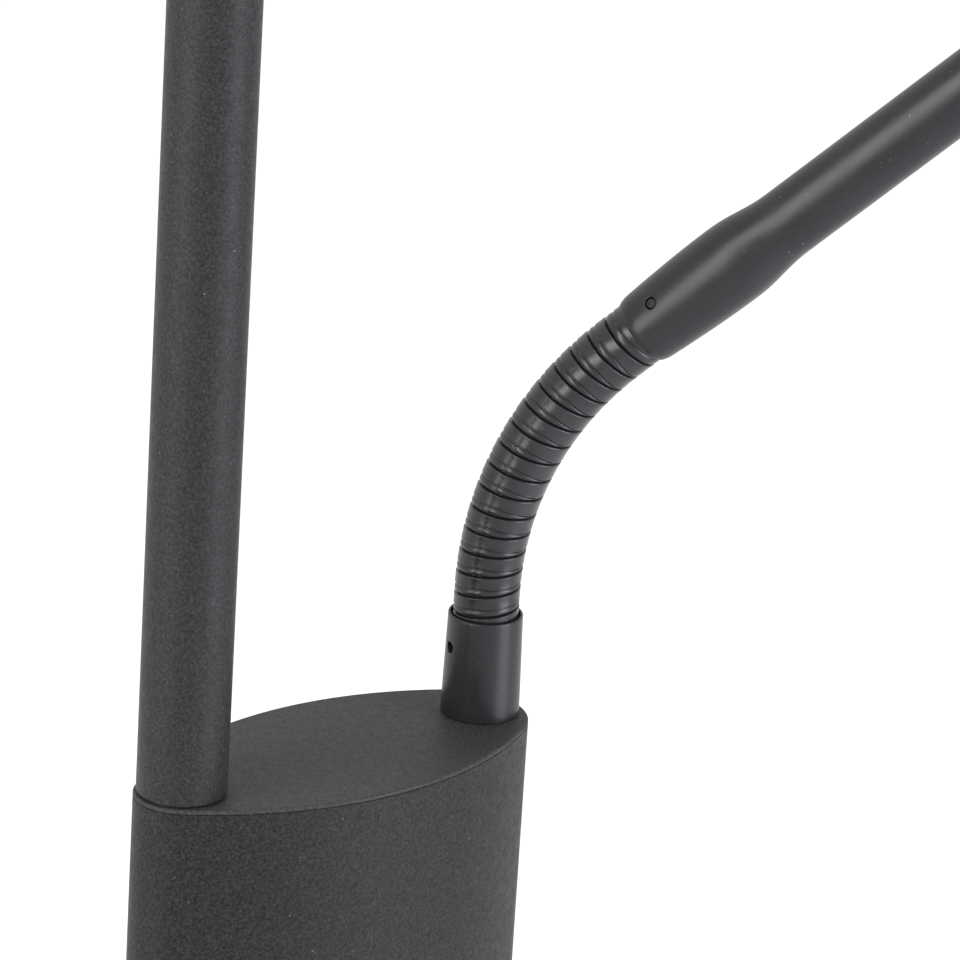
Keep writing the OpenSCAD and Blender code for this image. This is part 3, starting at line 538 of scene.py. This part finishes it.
# Neck socket, with heights above the cap, and poles

SOCKET_TOP_RADIUS, SOCKET_GAP = 0.0095, 0.0001
SOCKET_SCREW, SOCKET_SCREW_DEG, SOCKET_SCREW_RIM = 0.0185, 167.0, 0.00015
SOCKET_EDGE, SOCKET_RIM = 0.00025, 0.00035
SOCKET_THROAT, SOCKET_BORE_FROM, SOCKET_BORE_LOW = 0.0015, 0.0020, (0.0090, 0.0045)
SOCKET_FLOOR = 0.0040
STUD_BORE, STUD_RADIUS, STUD_FLARE, STUD_TOP = 0.0032, 0.0050, 0.0052, -0.0001
POLE_EDGE, POLE_WALL = 0.0004, 0.0015


class LAMP_OT_socket(bpy.types.Operator):
    """Turns the tapered neck socket with its rounded rim, its bore and its screw hole"""

    bl_idname = "lamp.socket"
    bl_label = "Neck socket"

    def execute(self, context):
        low, high = (np.array(c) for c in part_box("neck_socket"))
        base_z = CAP_HIGH[2]
        tall = high[2] - base_z
        stud = low[2] - base_z
        foot, top = (high[0] - low[0]) / 2, SOCKET_TOP_RADIUS
        bore = sizes().neck_diameter / 2 + SOCKET_GAP
        edge, rim = SOCKET_EDGE, SOCKET_RIM
        low_z = np.linspace(edge, SOCKET_SCREW - HOLE_REACH, num=24)[:-1]
        z = np.concatenate([low_z, hole_heights(SOCKET_SCREW),
                            np.linspace(SOCKET_SCREW + HOLE_REACH, tall - rim, num=16)[1:]])
        wall = np.stack([foot + (top - foot) * z / tall, z], 1)
        inner_z = np.concatenate([
            [tall - SOCKET_BORE_FROM], hole_heights(SOCKET_SCREW)[::-1], SOCKET_BORE_LOW])
        loop = [edge_arc((foot - edge, edge), edge, -90, 0)[:-1], wall,
                edge_arc((top - rim, tall - rim), rim, 0, 180, steps=9)[1:],
                [(top - 2 * rim, tall - SOCKET_THROAT)],
                np.stack([np.full_like(inner_z, bore), inner_z], 1),
                [(bore, SOCKET_FLOOR), (STUD_BORE, SOCKET_FLOOR), (STUD_BORE, stud), (STUD_RADIUS, stud),
                 (STUD_RADIUS, STUD_TOP), (STUD_FLARE, 0.0)]]
        starts = np.cumsum([0] + [len(part) for part in loop])
        holes = [(SOCKET_SCREW, SOCKET_SCREW_DEG, HOLE_RADIUS, SOCKET_SCREW_RIM,
                  hole_span(starts[1] + len(low_z)), hole_span(starts[4] + 1))]
        origin = np.array(((low[0] + high[0]) / 2, 0.0, base_z))
        socket = lathe_solid("neck_socket_turned", origin, Z_AXIS, X_AXIS, np.concatenate(loop), steps=180,
                             holes=holes)
        place(socket, "lamp_body", "satin_black", arm_satin(), "neck_socket")
        return {"FINISHED"}


class LAMP_OT_poles(bpy.types.Operator):
    """Draws the three pole tubes with their rounded ends"""

    bl_idname = "lamp.poles"
    bl_label = "Pole tubes"

    def execute(self, context):
        edge = POLE_EDGE
        for node in ("lower_pole", "middle_pole", "upper_pole"):
            low, high = (np.array(c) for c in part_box(node))
            r, tall = (high[0] - low[0]) / 2, high[2] - low[2]
            bore = r - POLE_WALL
            loop = np.concatenate([
                edge_arc((r - edge, edge), edge, -90, 0), wall_rows(r, edge, r, tall - edge, count=40),
                edge_arc((r - edge, tall - edge), edge, 0, 90),
                [(bore, tall)], wall_rows(bore, tall, bore, 0, count=10), [(bore, 0)]])
            pole = lathe_solid(node + "_tube", Z_AXIS * low[2], Z_AXIS, X_AXIS, loop, steps=128)
            place(pole, "lamp_body", "coat_black", sand_coat(), node)
        return {"FINISHED"}


# Housing cap: radius of its end at the neck, rounding of its lower edge, insets of the plate's inner rows and
# of the lip's two sides, height of the lip on its inside, and size of the lids in the cap's middle

CAP_NECK_RADIUS, CAP_UNDER = 0.0170, 0.00040
CAP_INNER, CAP_LIP_INSIDE, CAP_LIP_OUTSIDE = 0.0105, 0.00375, 0.00215
CAP_LIP_HEIGHT = 0.005
CAP_LID_SHARE = 0.02


def oval_outline(pole_r, neck_r, neck_x, half_w, count):
    """Points of the housing's outline and their outward normals: a round at each end and two side arcs.

    With rounds of radius p about 0 and n about d, and half width w, a side arc of radius R about (x, w - R)
    touches both: x x / (w - p) + p = (d - x) (d - x) / (w - n) + n, and R = (x x / (w - p) + w + p) / 2.
    """
    a = 1 / (half_w - pole_r) - 1 / (half_w - neck_r)
    b = 2 * neck_x / (half_w - neck_r)
    c = neck_x ** 2 / (half_w - neck_r) + neck_r - pole_r
    side_x = 2 * c / (b + math.sqrt(b * b + 4 * a * c))
    side_r = (side_x ** 2 / (half_w - pole_r) + half_w + pole_r) / 2
    side_c = side_r - half_w
    to_neck, to_pole = math.atan2(side_c, neck_x - side_x), math.atan2(side_c, -side_x)
    turns = [(-to_neck, to_neck), (to_neck, to_pole), (to_pole, 2 * math.pi - to_pole),
             (2 * math.pi - to_pole, 2 * math.pi - to_neck)]
    angle = np.concatenate([np.linspace(*turn, count, endpoint=False) for turn in turns])
    normal = np.stack([np.cos(angle), np.sin(angle)], 1)
    centre = np.repeat([(neck_x, 0), (side_x, -side_c), (0, 0), (side_x, side_c)], count, 0)
    radius = np.repeat([neck_r, side_r, pole_r, side_r], count)[:, None]
    return centre + radius * normal, normal


class LAMP_OT_cap(bpy.types.Operator):
    """Draws the housing's top cap: an oval plate with a rounded edge and a lip that enters the shell"""

    bl_idname = "lamp.cap"
    bl_label = "Housing cap"

    def execute(self, context):
        low, high = CAP_LOW, CAP_HIGH
        seam, top, inside = HOUSING_TOP, high[2], low[2] + CAP_LIP_HEIGHT
        edge, under = sizes().cap_edge, CAP_UNDER
        outline, normal = oval_outline(-low[0], CAP_NECK_RADIUS, high[0] - CAP_NECK_RADIUS,
                                       (high[1] - low[1]) / 2, count=48)
        middle = np.array(((low[0] + high[0]) / 2, 0.0, 0.0))
        outline = outline - middle[:2]
        loop = np.concatenate([
            [(CAP_INNER, inside), (CAP_LIP_INSIDE, inside), (CAP_LIP_INSIDE, low[2]),
             (CAP_LIP_OUTSIDE, low[2]), (CAP_LIP_OUTSIDE, seam)],
            edge_arc((under, seam + under), -under, 90, 0),
            edge_arc((edge, top - edge), -edge, 0, -90, steps=8),
            np.stack([np.linspace(edge, CAP_INNER, num=12)[1:], np.full(11, top)], 1)])
        rows = np.concatenate([
            np.stack([outline[:, 0] - inset * normal[:, 0], outline[:, 1] - inset * normal[:, 1],
                      np.full(len(outline), z)], 1)[None] for inset, z in loop])
        lid_scale = Z_AXIS + (1 - Z_AXIS) * CAP_LID_SHARE
        rows = np.concatenate([rows[:1] * lid_scale, rows, rows[-1:] * lid_scale]) + middle
        cols = len(outline)
        quads = quad_grid(len(rows), cols, wrap_cols=True).reshape(-1, 4)
        lid = lid_quads(cols)
        quads = np.concatenate([quads, lid[:, ::-1], lid + (len(rows) - 1) * cols])
        cap = add_piece("housing_cap_plate", rows, quads)
        finish = sand_finish("cap_coat", tuple(colours().cap), grain=0.7, rough=0.55)
        place(cap, "lamp_body", "satin_black", finish, "housing_top_cap")
        return {"FINISHED"}


# Coated metal and the other finishes

def material_tree(name):
    """A new node material with its Principled shader and its Object coordinates."""
    mat = bpy.data.materials.new(name)
    mat.use_nodes = True
    tree = mat.node_tree
    shader = tree.nodes["Principled BSDF"]
    coords = tree.nodes.new("ShaderNodeTexCoord")
    return mat, tree, shader, coords.outputs["Object"]


def noise_node(tree, coords, scale, detail=2.0, rough=0.5):
    """Noise from 0 to 1 over the given coordinates."""
    node = tree.nodes.new("ShaderNodeTexNoise")
    node.inputs["Scale"].default_value = scale
    node.inputs["Detail"].default_value = detail
    node.inputs["Roughness"].default_value = rough
    tree.links.new(coords, node.inputs["Vector"])
    return node.outputs["Fac"]


def ramp_node(tree, value, stops):
    """A colour that follows a value through stops of (position, colour)."""
    node = tree.nodes.new("ShaderNodeValToRGB")
    ramp = node.color_ramp
    while len(ramp.elements) < len(stops):
        ramp.elements.new(0.5)
    for element, (at, colour) in zip(ramp.elements, stops):
        element.position = at
        element.color = (*colour, 1.0)
    tree.links.new(value, node.inputs["Fac"])
    return node.outputs["Color"]


def bump_node(tree, height, strength, distance, normal=None):
    """A surface normal tilted by a height, on top of another bump where one is given."""
    node = tree.nodes.new("ShaderNodeBump")
    node.inputs["Strength"].default_value = strength
    node.inputs["Distance"].default_value = distance
    tree.links.new(height, node.inputs["Height"])
    if normal is not None:
        tree.links.new(normal, node.inputs["Normal"])
    return node.outputs["Normal"]


def shade(colour, factor):
    """A colour made darker or lighter by a factor, held between 0 and 1."""
    return tuple(min(1.0, max(0.0, c * factor)) for c in colour)


def sand_finish(name, colour, grain=0.82, rough=0.50):
    """Fine sandy powder coat: a grain of a third of a millimetre, a slow mottle and a few pale grains, partly
    specks of dirt and partly painted glints.
    """
    if name in bpy.data.materials:
        return bpy.data.materials[name]
    mat, tree, shader, coords = material_tree(name)
    sand = noise_node(tree, coords, scale=1450.0, detail=1.0)
    lump = noise_node(tree, coords, scale=420.0)
    tone = ramp_node(tree, sand, [
        (0.26, shade(colour, 1 - 0.75 * grain)), (0.50, colour), (0.74, shade(colour, 1 + 0.95 * grain))])
    # Pale grains: partly specks of dirt, partly painted glints
    tone = dust_and_glint_grains(tree, coords, tone)
    tree.links.new(tone, shader.inputs["Base Color"])
    worn = ramp_node(tree, lump, [(0.3, (rough - 0.06,) * 3), (0.7, (rough + 0.06,) * 3)])
    tree.links.new(worn, shader.inputs["Roughness"])
    shader.inputs["Specular IOR Level"].default_value = 0.22
    normal = bump_node(tree, lump, strength=0.10 * grain, distance=0.00020)
    normal = bump_node(tree, sand, strength=0.20 * grain, distance=0.00010, normal=normal)
    tree.links.new(normal, shader.inputs["Normal"])
    return mat


def dust_and_glint_grains(tree, coords, tone):
    """A tone with a few small pale grains in it, where a fine noise is at its highest: partly specks of dirt,
    partly painted highlight for glints of the coat's sparkle.
    """
    dust_and_glint = noise_node(tree, coords, scale=1300.0, detail=0.0)
    amount = ramp_node(tree, dust_and_glint, [(0.0, (0, 0, 0)), (0.83, (0, 0, 0)), (0.90, (1, 1, 1))])
    mix = tree.nodes.new("ShaderNodeMix")
    mix.data_type = "RGBA"
    # Pale grey of the grains: partly dirt, partly a painted glint of the coat's sparkle
    mix.inputs["B"].default_value = (0.12, 0.12, 0.12, 1.0)
    tree.links.new(amount, mix.inputs["Factor"])
    tree.links.new(tone, mix.inputs["A"])
    return mix.outputs["Result"]


def satin_finish(name, colour, rough, specular):
    """Smooth satin coat with a faint orange-peel and a slow drift of its gloss."""
    if name in bpy.data.materials:
        return bpy.data.materials[name]
    mat, tree, shader, coords = material_tree(name)
    drift = noise_node(tree, coords, scale=110.0, detail=3.0, rough=0.55)
    peel = noise_node(tree, coords, scale=1100.0)
    tone = ramp_node(tree, drift, [(0.3, shade(colour, 0.90)), (0.7, shade(colour, 1.10))])
    # Pale grains in the satin coat too: partly specks of dirt, partly painted glints
    tone = dust_and_glint_grains(tree, coords, tone)
    tree.links.new(tone, shader.inputs["Base Color"])
    gloss = ramp_node(tree, drift, [(0.3, (rough - 0.035,) * 3), (0.7, (rough + 0.035,) * 3)])
    tree.links.new(gloss, shader.inputs["Roughness"])
    shader.inputs["Specular IOR Level"].default_value = specular
    tree.links.new(bump_node(tree, peel, strength=0.14, distance=0.00010), shader.inputs["Normal"])
    return mat


def plain_finish(name, colour, rough, metallic=0.0, scale=600.0, bump=0.1, spread=0.1):
    """A finish with a fine grain: moulded plastic, felt, plated steel, cast iron or sheath by its numbers."""
    if name in bpy.data.materials:
        return bpy.data.materials[name]
    mat, tree, shader, coords = material_tree(name)
    grain = noise_node(tree, coords, scale, detail=3.0, rough=0.6)
    tone = ramp_node(tree, grain, [(0.3, shade(colour, 1 - spread)), (0.7, shade(colour, 1 + spread))])
    tree.links.new(tone, shader.inputs["Base Color"])
    shader.inputs["Metallic"].default_value = metallic
    gloss = ramp_node(tree, grain, [(0.3, (max(rough - 0.06, 0.02),) * 3), (0.7, (rough + 0.06,) * 3)])
    tree.links.new(gloss, shader.inputs["Roughness"])
    tree.links.new(bump_node(tree, grain, bump, distance=0.0002), shader.inputs["Normal"])
    return mat


def sand_coat():
    """The sandy coat of the poles and of the other coated pieces."""
    return sand_finish("sand_coat", tuple(colours().coat))


def arm_satin():
    """The satin coat of the arm, the socket and the other satin pieces."""
    return satin_finish("arm_satin", tuple(colours().satin), rough=0.36, specular=0.35)


def dress(obj, mat):
    """Gives a carried-over piece its one finish."""
    obj.data.materials.clear()
    obj.data.materials.append(mat)


class LAMP_OT_finishes(bpy.types.Operator):
    """Gives every carried-over piece its finish"""

    bl_idname = "lamp.finishes"
    bl_label = "Finishes"

    def execute(self, context):
        sand = sand_coat()
        # The housing's coat is the sand coat made darker to 0.68: painted shade for the light that falls off lower
        # down, with a coarser grain
        wall = sand_finish("housing_coat", shade(tuple(colours().coat), 0.68), grain=1.25)
        satin = arm_satin()
        # A plain finish: name, colour, roughness, metal, scale of its grain, bump, spread of its tone
        finishes = {
            "coat_black": sand,
            "coat_black_light": sand,
            "satin_black_light": satin,
            "satin_black": satin,
            "black_oxide": plain_finish("black_oxide", (0.030, 0.030, 0.032), 0.42, 0.6, 500.0, 0.05, 0.1),
            "zinc_steel": plain_finish("zinc_plate", (0.56, 0.57, 0.60), 0.32, 1.0, 400.0, 0.05, 0.08),
            "cast_iron": plain_finish("cast_iron", (0.10, 0.10, 0.105), 0.7, 0.3, 300.0, 0.6, 0.3),
            "felt": plain_finish("pressed_felt", (0.02, 0.02, 0.021), 0.90, 0.0, 1800.0, 0.9, 0.5),
            "rubber": plain_finish("moulded_rubber", (0.018, 0.018, 0.019), 0.6, 0.0, 900.0, 0.2, 0.2),
            "black_plastic": plain_finish(
                "moulded_black", (0.022, 0.022, 0.024), 0.45, 0.0, 1500.0, 0.15, 0.15),
            "white_plastic": plain_finish("moulded_white", (0.72, 0.73, 0.74), 0.45, 0.0, 900.0, 0.08, 0.04),
            "aluminium": plain_finish("machined_aluminium", (0.72, 0.73, 0.75), 0.35, 1.0, 700.0, 0.06, 0.06),
            "led_board": plain_finish("white_mask", (0.80, 0.80, 0.78), 0.4, 0.0, 800.0, 0.04, 0.04),
            "opal": plain_finish("opal_diffuser", (0.80, 0.79, 0.76), 0.38, 0.0, 500.0, 0.03, 0.03),
            "lead_sheath": plain_finish("lead_sheath", (0.025, 0.025, 0.026), 0.5, 0.0, 1200.0, 0.1, 0.1),
        }
        for part in frame["record"]["subparts"]:
            dress(NODES[part["node"]], finishes[part["material_slot"]])
        for node in ("arm_screws", "neck_socket_screw", "head_tilt_screw"):
            dress(NODES[node], finishes["black_oxide"])
        # Housing wall and bottom cap take the darker copy of the sand coat, painted shade
        for node in ("housing_shell", "housing_bottom_cap"):
            dress(NODES[node], wall)
        return {"FINISHED"}


# Stage: floor, light and camera, with the camera as it was fitted to the photograph's edges

CAMERA_LENS, CAMERA_AT = 189.928, (-0.69535, -0.89342, 1.50096)
CAMERA_TURN, CAMERA_TILT, CAMERA_ROLL = (math.radians(v) for v in (-41.326, 20.190, 3.611))
CAMERA_LEVEL = np.array((math.cos(CAMERA_TURN), math.sin(CAMERA_TURN), 0.0))
CAMERA_FRONT = np.array((math.sin(CAMERA_TURN), -math.cos(CAMERA_TURN), 0.0))
FLOOR_HALF, FLOOR_Z = 8.0, -0.0002
LIGHT_AIM = np.array((0.07, 0.0, 1.06))
LIGHT_AWAY, LIGHT_HEIGHT = 1.9, 2.4


def aim(obj, position, right, up, back):
    """Stands an object at a position with its own X, Y and Z along right, up and back."""
    turn = Matrix((right, up, back)).transposed().to_4x4()
    obj.matrix_world = Matrix.Translation(position) @ turn


def soft_box(name, position, target, width, height, power, tint=(1.0, 1.0, 1.0)):
    """An area light that faces a target."""
    light = bpy.data.lights.new(name, "AREA")
    light.shape = "RECTANGLE"
    light.size, light.size_y = width, height
    light.energy = power
    light.color = tint
    obj = bpy.data.objects.new(name, light)
    bpy.context.scene.collection.objects.link(obj)
    back = np.array(position, float) - np.array(target, float)
    back = back / np.linalg.norm(back)
    up, left = cross_frame(back, Y_AXIS if abs(back[2]) > 0.95 else Z_AXIS)
    aim(obj, position, -left, up, back)


class LAMP_OT_stage(bpy.types.Operator):
    """Sets the floor, the studio light and the camera"""

    bl_idname = "lamp.stage"
    bl_label = "Stage"

    def execute(self, context):
        scene = context.scene
        scene.view_settings.view_transform = "Standard"
        self.set_camera(scene)
        steps = np.linspace(-FLOOR_HALF, FLOOR_HALF, num=3)
        x, y = np.meshgrid(steps, steps, indexing="ij")
        floor = add_piece("studio_floor", np.stack([x, y, np.full_like(x, FLOOR_Z)], -1),
                          quad_grid(3, 3)[..., ::-1])
        floor.data.materials.append(self.floor_finish())
        self.set_world(scene)
        self.set_lights()
        return {"FINISHED"}

    def set_camera(self, scene):
        """The photograph's view: a long lens that looks down a little and leans a little."""
        camera = bpy.data.cameras.new("camera")
        camera.sensor_width = 36.0
        camera.sensor_fit = "HORIZONTAL"
        camera.lens = CAMERA_LENS
        camera.clip_end = 50.0
        view = bpy.data.objects.new("camera", camera)
        scene.collection.objects.link(view)
        turn, tilt, roll = CAMERA_TURN, CAMERA_TILT, CAMERA_ROLL
        back = np.array((math.sin(turn) * math.cos(tilt), -math.cos(turn) * math.cos(tilt), math.sin(tilt)))
        rise = np.cross(back, CAMERA_LEVEL)
        right = math.cos(roll) * CAMERA_LEVEL + math.sin(roll) * rise
        up = math.cos(roll) * rise - math.sin(roll) * CAMERA_LEVEL
        aim(view, CAMERA_AT, right, up, back)
        scene.camera = view

    def set_lights(self):
        """A tall soft box at each side of the camera and a weak one overhead."""
        for name, degrees, rise, width, power, tint in (
                ("box_left", -50.0, 0.80, 1.2, 55.0, (1.0, 1.0, 0.99)),
                ("box_right", 65.0, 0.48, 1.1, 52.0, (0.93, 0.90, 1.0))):
            across = math.radians(degrees)
            away = LIGHT_AWAY * (math.cos(across) * CAMERA_FRONT + math.sin(across) * CAMERA_LEVEL)
            target = LIGHT_AIM + (0.0, 0.0, rise)
            soft_box(name, LIGHT_AIM + away + (0.0, 0.0, rise), target, width, LIGHT_HEIGHT, power, tint)
        above = np.array((0.1, 0.2, 2.3))
        soft_box("box_top", LIGHT_AIM + above, LIGHT_AIM, width=1.4, height=1.4, power=14.0)

    def floor_finish(self):
        """Pale floor that glows for lens and gloss: white far off, less near the base, to keep its shadow."""
        mat, tree, shader, coords = material_tree("studio_floor")
        grain = noise_node(tree, coords, scale=30.0, detail=3.0)
        tint = tuple(colours().floor)
        tone = ramp_node(tree, grain, [(0.3, shade(tint, 0.99)), (0.7, shade(tint, 1.01))])
        tree.links.new(tone, shader.inputs["Base Color"])
        shader.inputs["Roughness"].default_value = 0.9
        shader.inputs["Specular IOR Level"].default_value = 0.0
        reach = tree.nodes.new("ShaderNodeVectorMath")
        reach.operation = "LENGTH"
        tree.links.new(coords, reach.inputs[0])
        rise = tree.nodes.new("ShaderNodeMapRange")
        rise.interpolation_type = "SMOOTHSTEP"
        for socket, value in (("From Min", 0.3), ("From Max", 1.8), ("To Min", 0.20), ("To Max", 0.75)):
            rise.inputs[socket].default_value = value
        tree.links.new(reach.outputs["Value"], rise.inputs["Value"])
        glow = tree.nodes.new("ShaderNodeEmission")
        tree.links.new(rise.outputs["Result"], glow.inputs["Strength"])
        both = tree.nodes.new("ShaderNodeAddShader")
        tree.links.new(shader.outputs["BSDF"], both.inputs[0])
        tree.links.new(glow.outputs["Emission"], both.inputs[1])
        pick = tree.nodes.new("ShaderNodeMixShader")
        tree.links.new(seen_directly(tree), pick.inputs["Fac"])
        tree.links.new(shader.outputs["BSDF"], pick.inputs[1])
        tree.links.new(both.outputs["Shader"], pick.inputs[2])
        tree.links.new(pick.outputs["Shader"], tree.nodes["Material Output"].inputs["Surface"])
        return mat

    def set_world(self, scene):
        """White behind the lamp for the lens and for gloss, and a plain grey fill for everything else."""
        world = bpy.data.worlds.new("studio")
        world.use_nodes = True
        tree = world.node_tree
        fill = tree.nodes["Background"]
        fill.inputs["Color"].default_value = (1.0, 1.0, 1.0, 1.0)
        fill.inputs["Strength"].default_value = 0.30
        white = tree.nodes.new("ShaderNodeBackground")
        white.inputs["Color"].default_value = (1.0, 1.0, 1.0, 1.0)
        white.inputs["Strength"].default_value = 1.0
        pick = tree.nodes.new("ShaderNodeMixShader")
        tree.links.new(seen_directly(tree), pick.inputs["Fac"])
        tree.links.new(fill.outputs["Background"], pick.inputs[1])
        tree.links.new(white.outputs["Background"], pick.inputs[2])
        tree.links.new(pick.outputs["Shader"], tree.nodes["World Output"].inputs["Surface"])
        scene.world = world


def seen_directly(tree):
    """1 for rays from the lens, and for those mirrored or passed by gloss and glass."""
    path = tree.nodes.new("ShaderNodeLightPath")
    first = tree.nodes.new("ShaderNodeMath")
    first.operation = "MAXIMUM"
    tree.links.new(path.outputs["Is Camera Ray"], first.inputs[0])
    tree.links.new(path.outputs["Is Glossy Ray"], first.inputs[1])
    second = tree.nodes.new("ShaderNodeMath")
    second.operation = "MAXIMUM"
    tree.links.new(first.outputs["Value"], second.inputs[0])
    tree.links.new(path.outputs["Is Transmission Ray"], second.inputs[1])
    return second.outputs["Value"]


OPERATORS = (LAMP_OT_finishes, LAMP_OT_wound_neck, LAMP_OT_reading_lead, LAMP_OT_arm, LAMP_OT_socket,
             LAMP_OT_poles, LAMP_OT_cap, LAMP_OT_stage)


class LAMP_PT_panel(bpy.types.Panel):
    """Lists the lamp's steps in the sidebar"""

    bl_idname = "LAMP_PT_panel"
    bl_label = "Floor lamp"
    bl_space_type = "VIEW_3D"
    bl_region_type = "UI"
    bl_category = "Lamp"

    def draw(self, context):
        for group in (context.scene.lamp_sizes, context.scene.lamp_colours):
            for key in group.__annotations__:
                self.layout.prop(group, key)
        for step in OPERATORS:
            self.layout.operator(step.bl_idname)


CLASSES = (LampSizes, LampColours) + OPERATORS + (LAMP_PT_panel,)


def register():
    for cls in CLASSES:
        bpy.utils.register_class(cls)
    bpy.types.Scene.lamp_sizes = bpy.props.PointerProperty(type=LampSizes)
    bpy.types.Scene.lamp_colours = bpy.props.PointerProperty(type=LampColours)


def unregister():
    del bpy.types.Scene.lamp_colours
    del bpy.types.Scene.lamp_sizes
    for cls in reversed(CLASSES):
        bpy.utils.unregister_class(cls)


def main():
    register()
    bpy.ops.lamp.finishes()
    bpy.ops.lamp.wound_neck()
    bpy.ops.lamp.reading_lead()
    bpy.ops.lamp.arm()
    bpy.ops.lamp.socket()
    bpy.ops.lamp.poles()
    bpy.ops.lamp.cap()
    bpy.ops.lamp.stage()


if __name__ == "__main__":
    main()
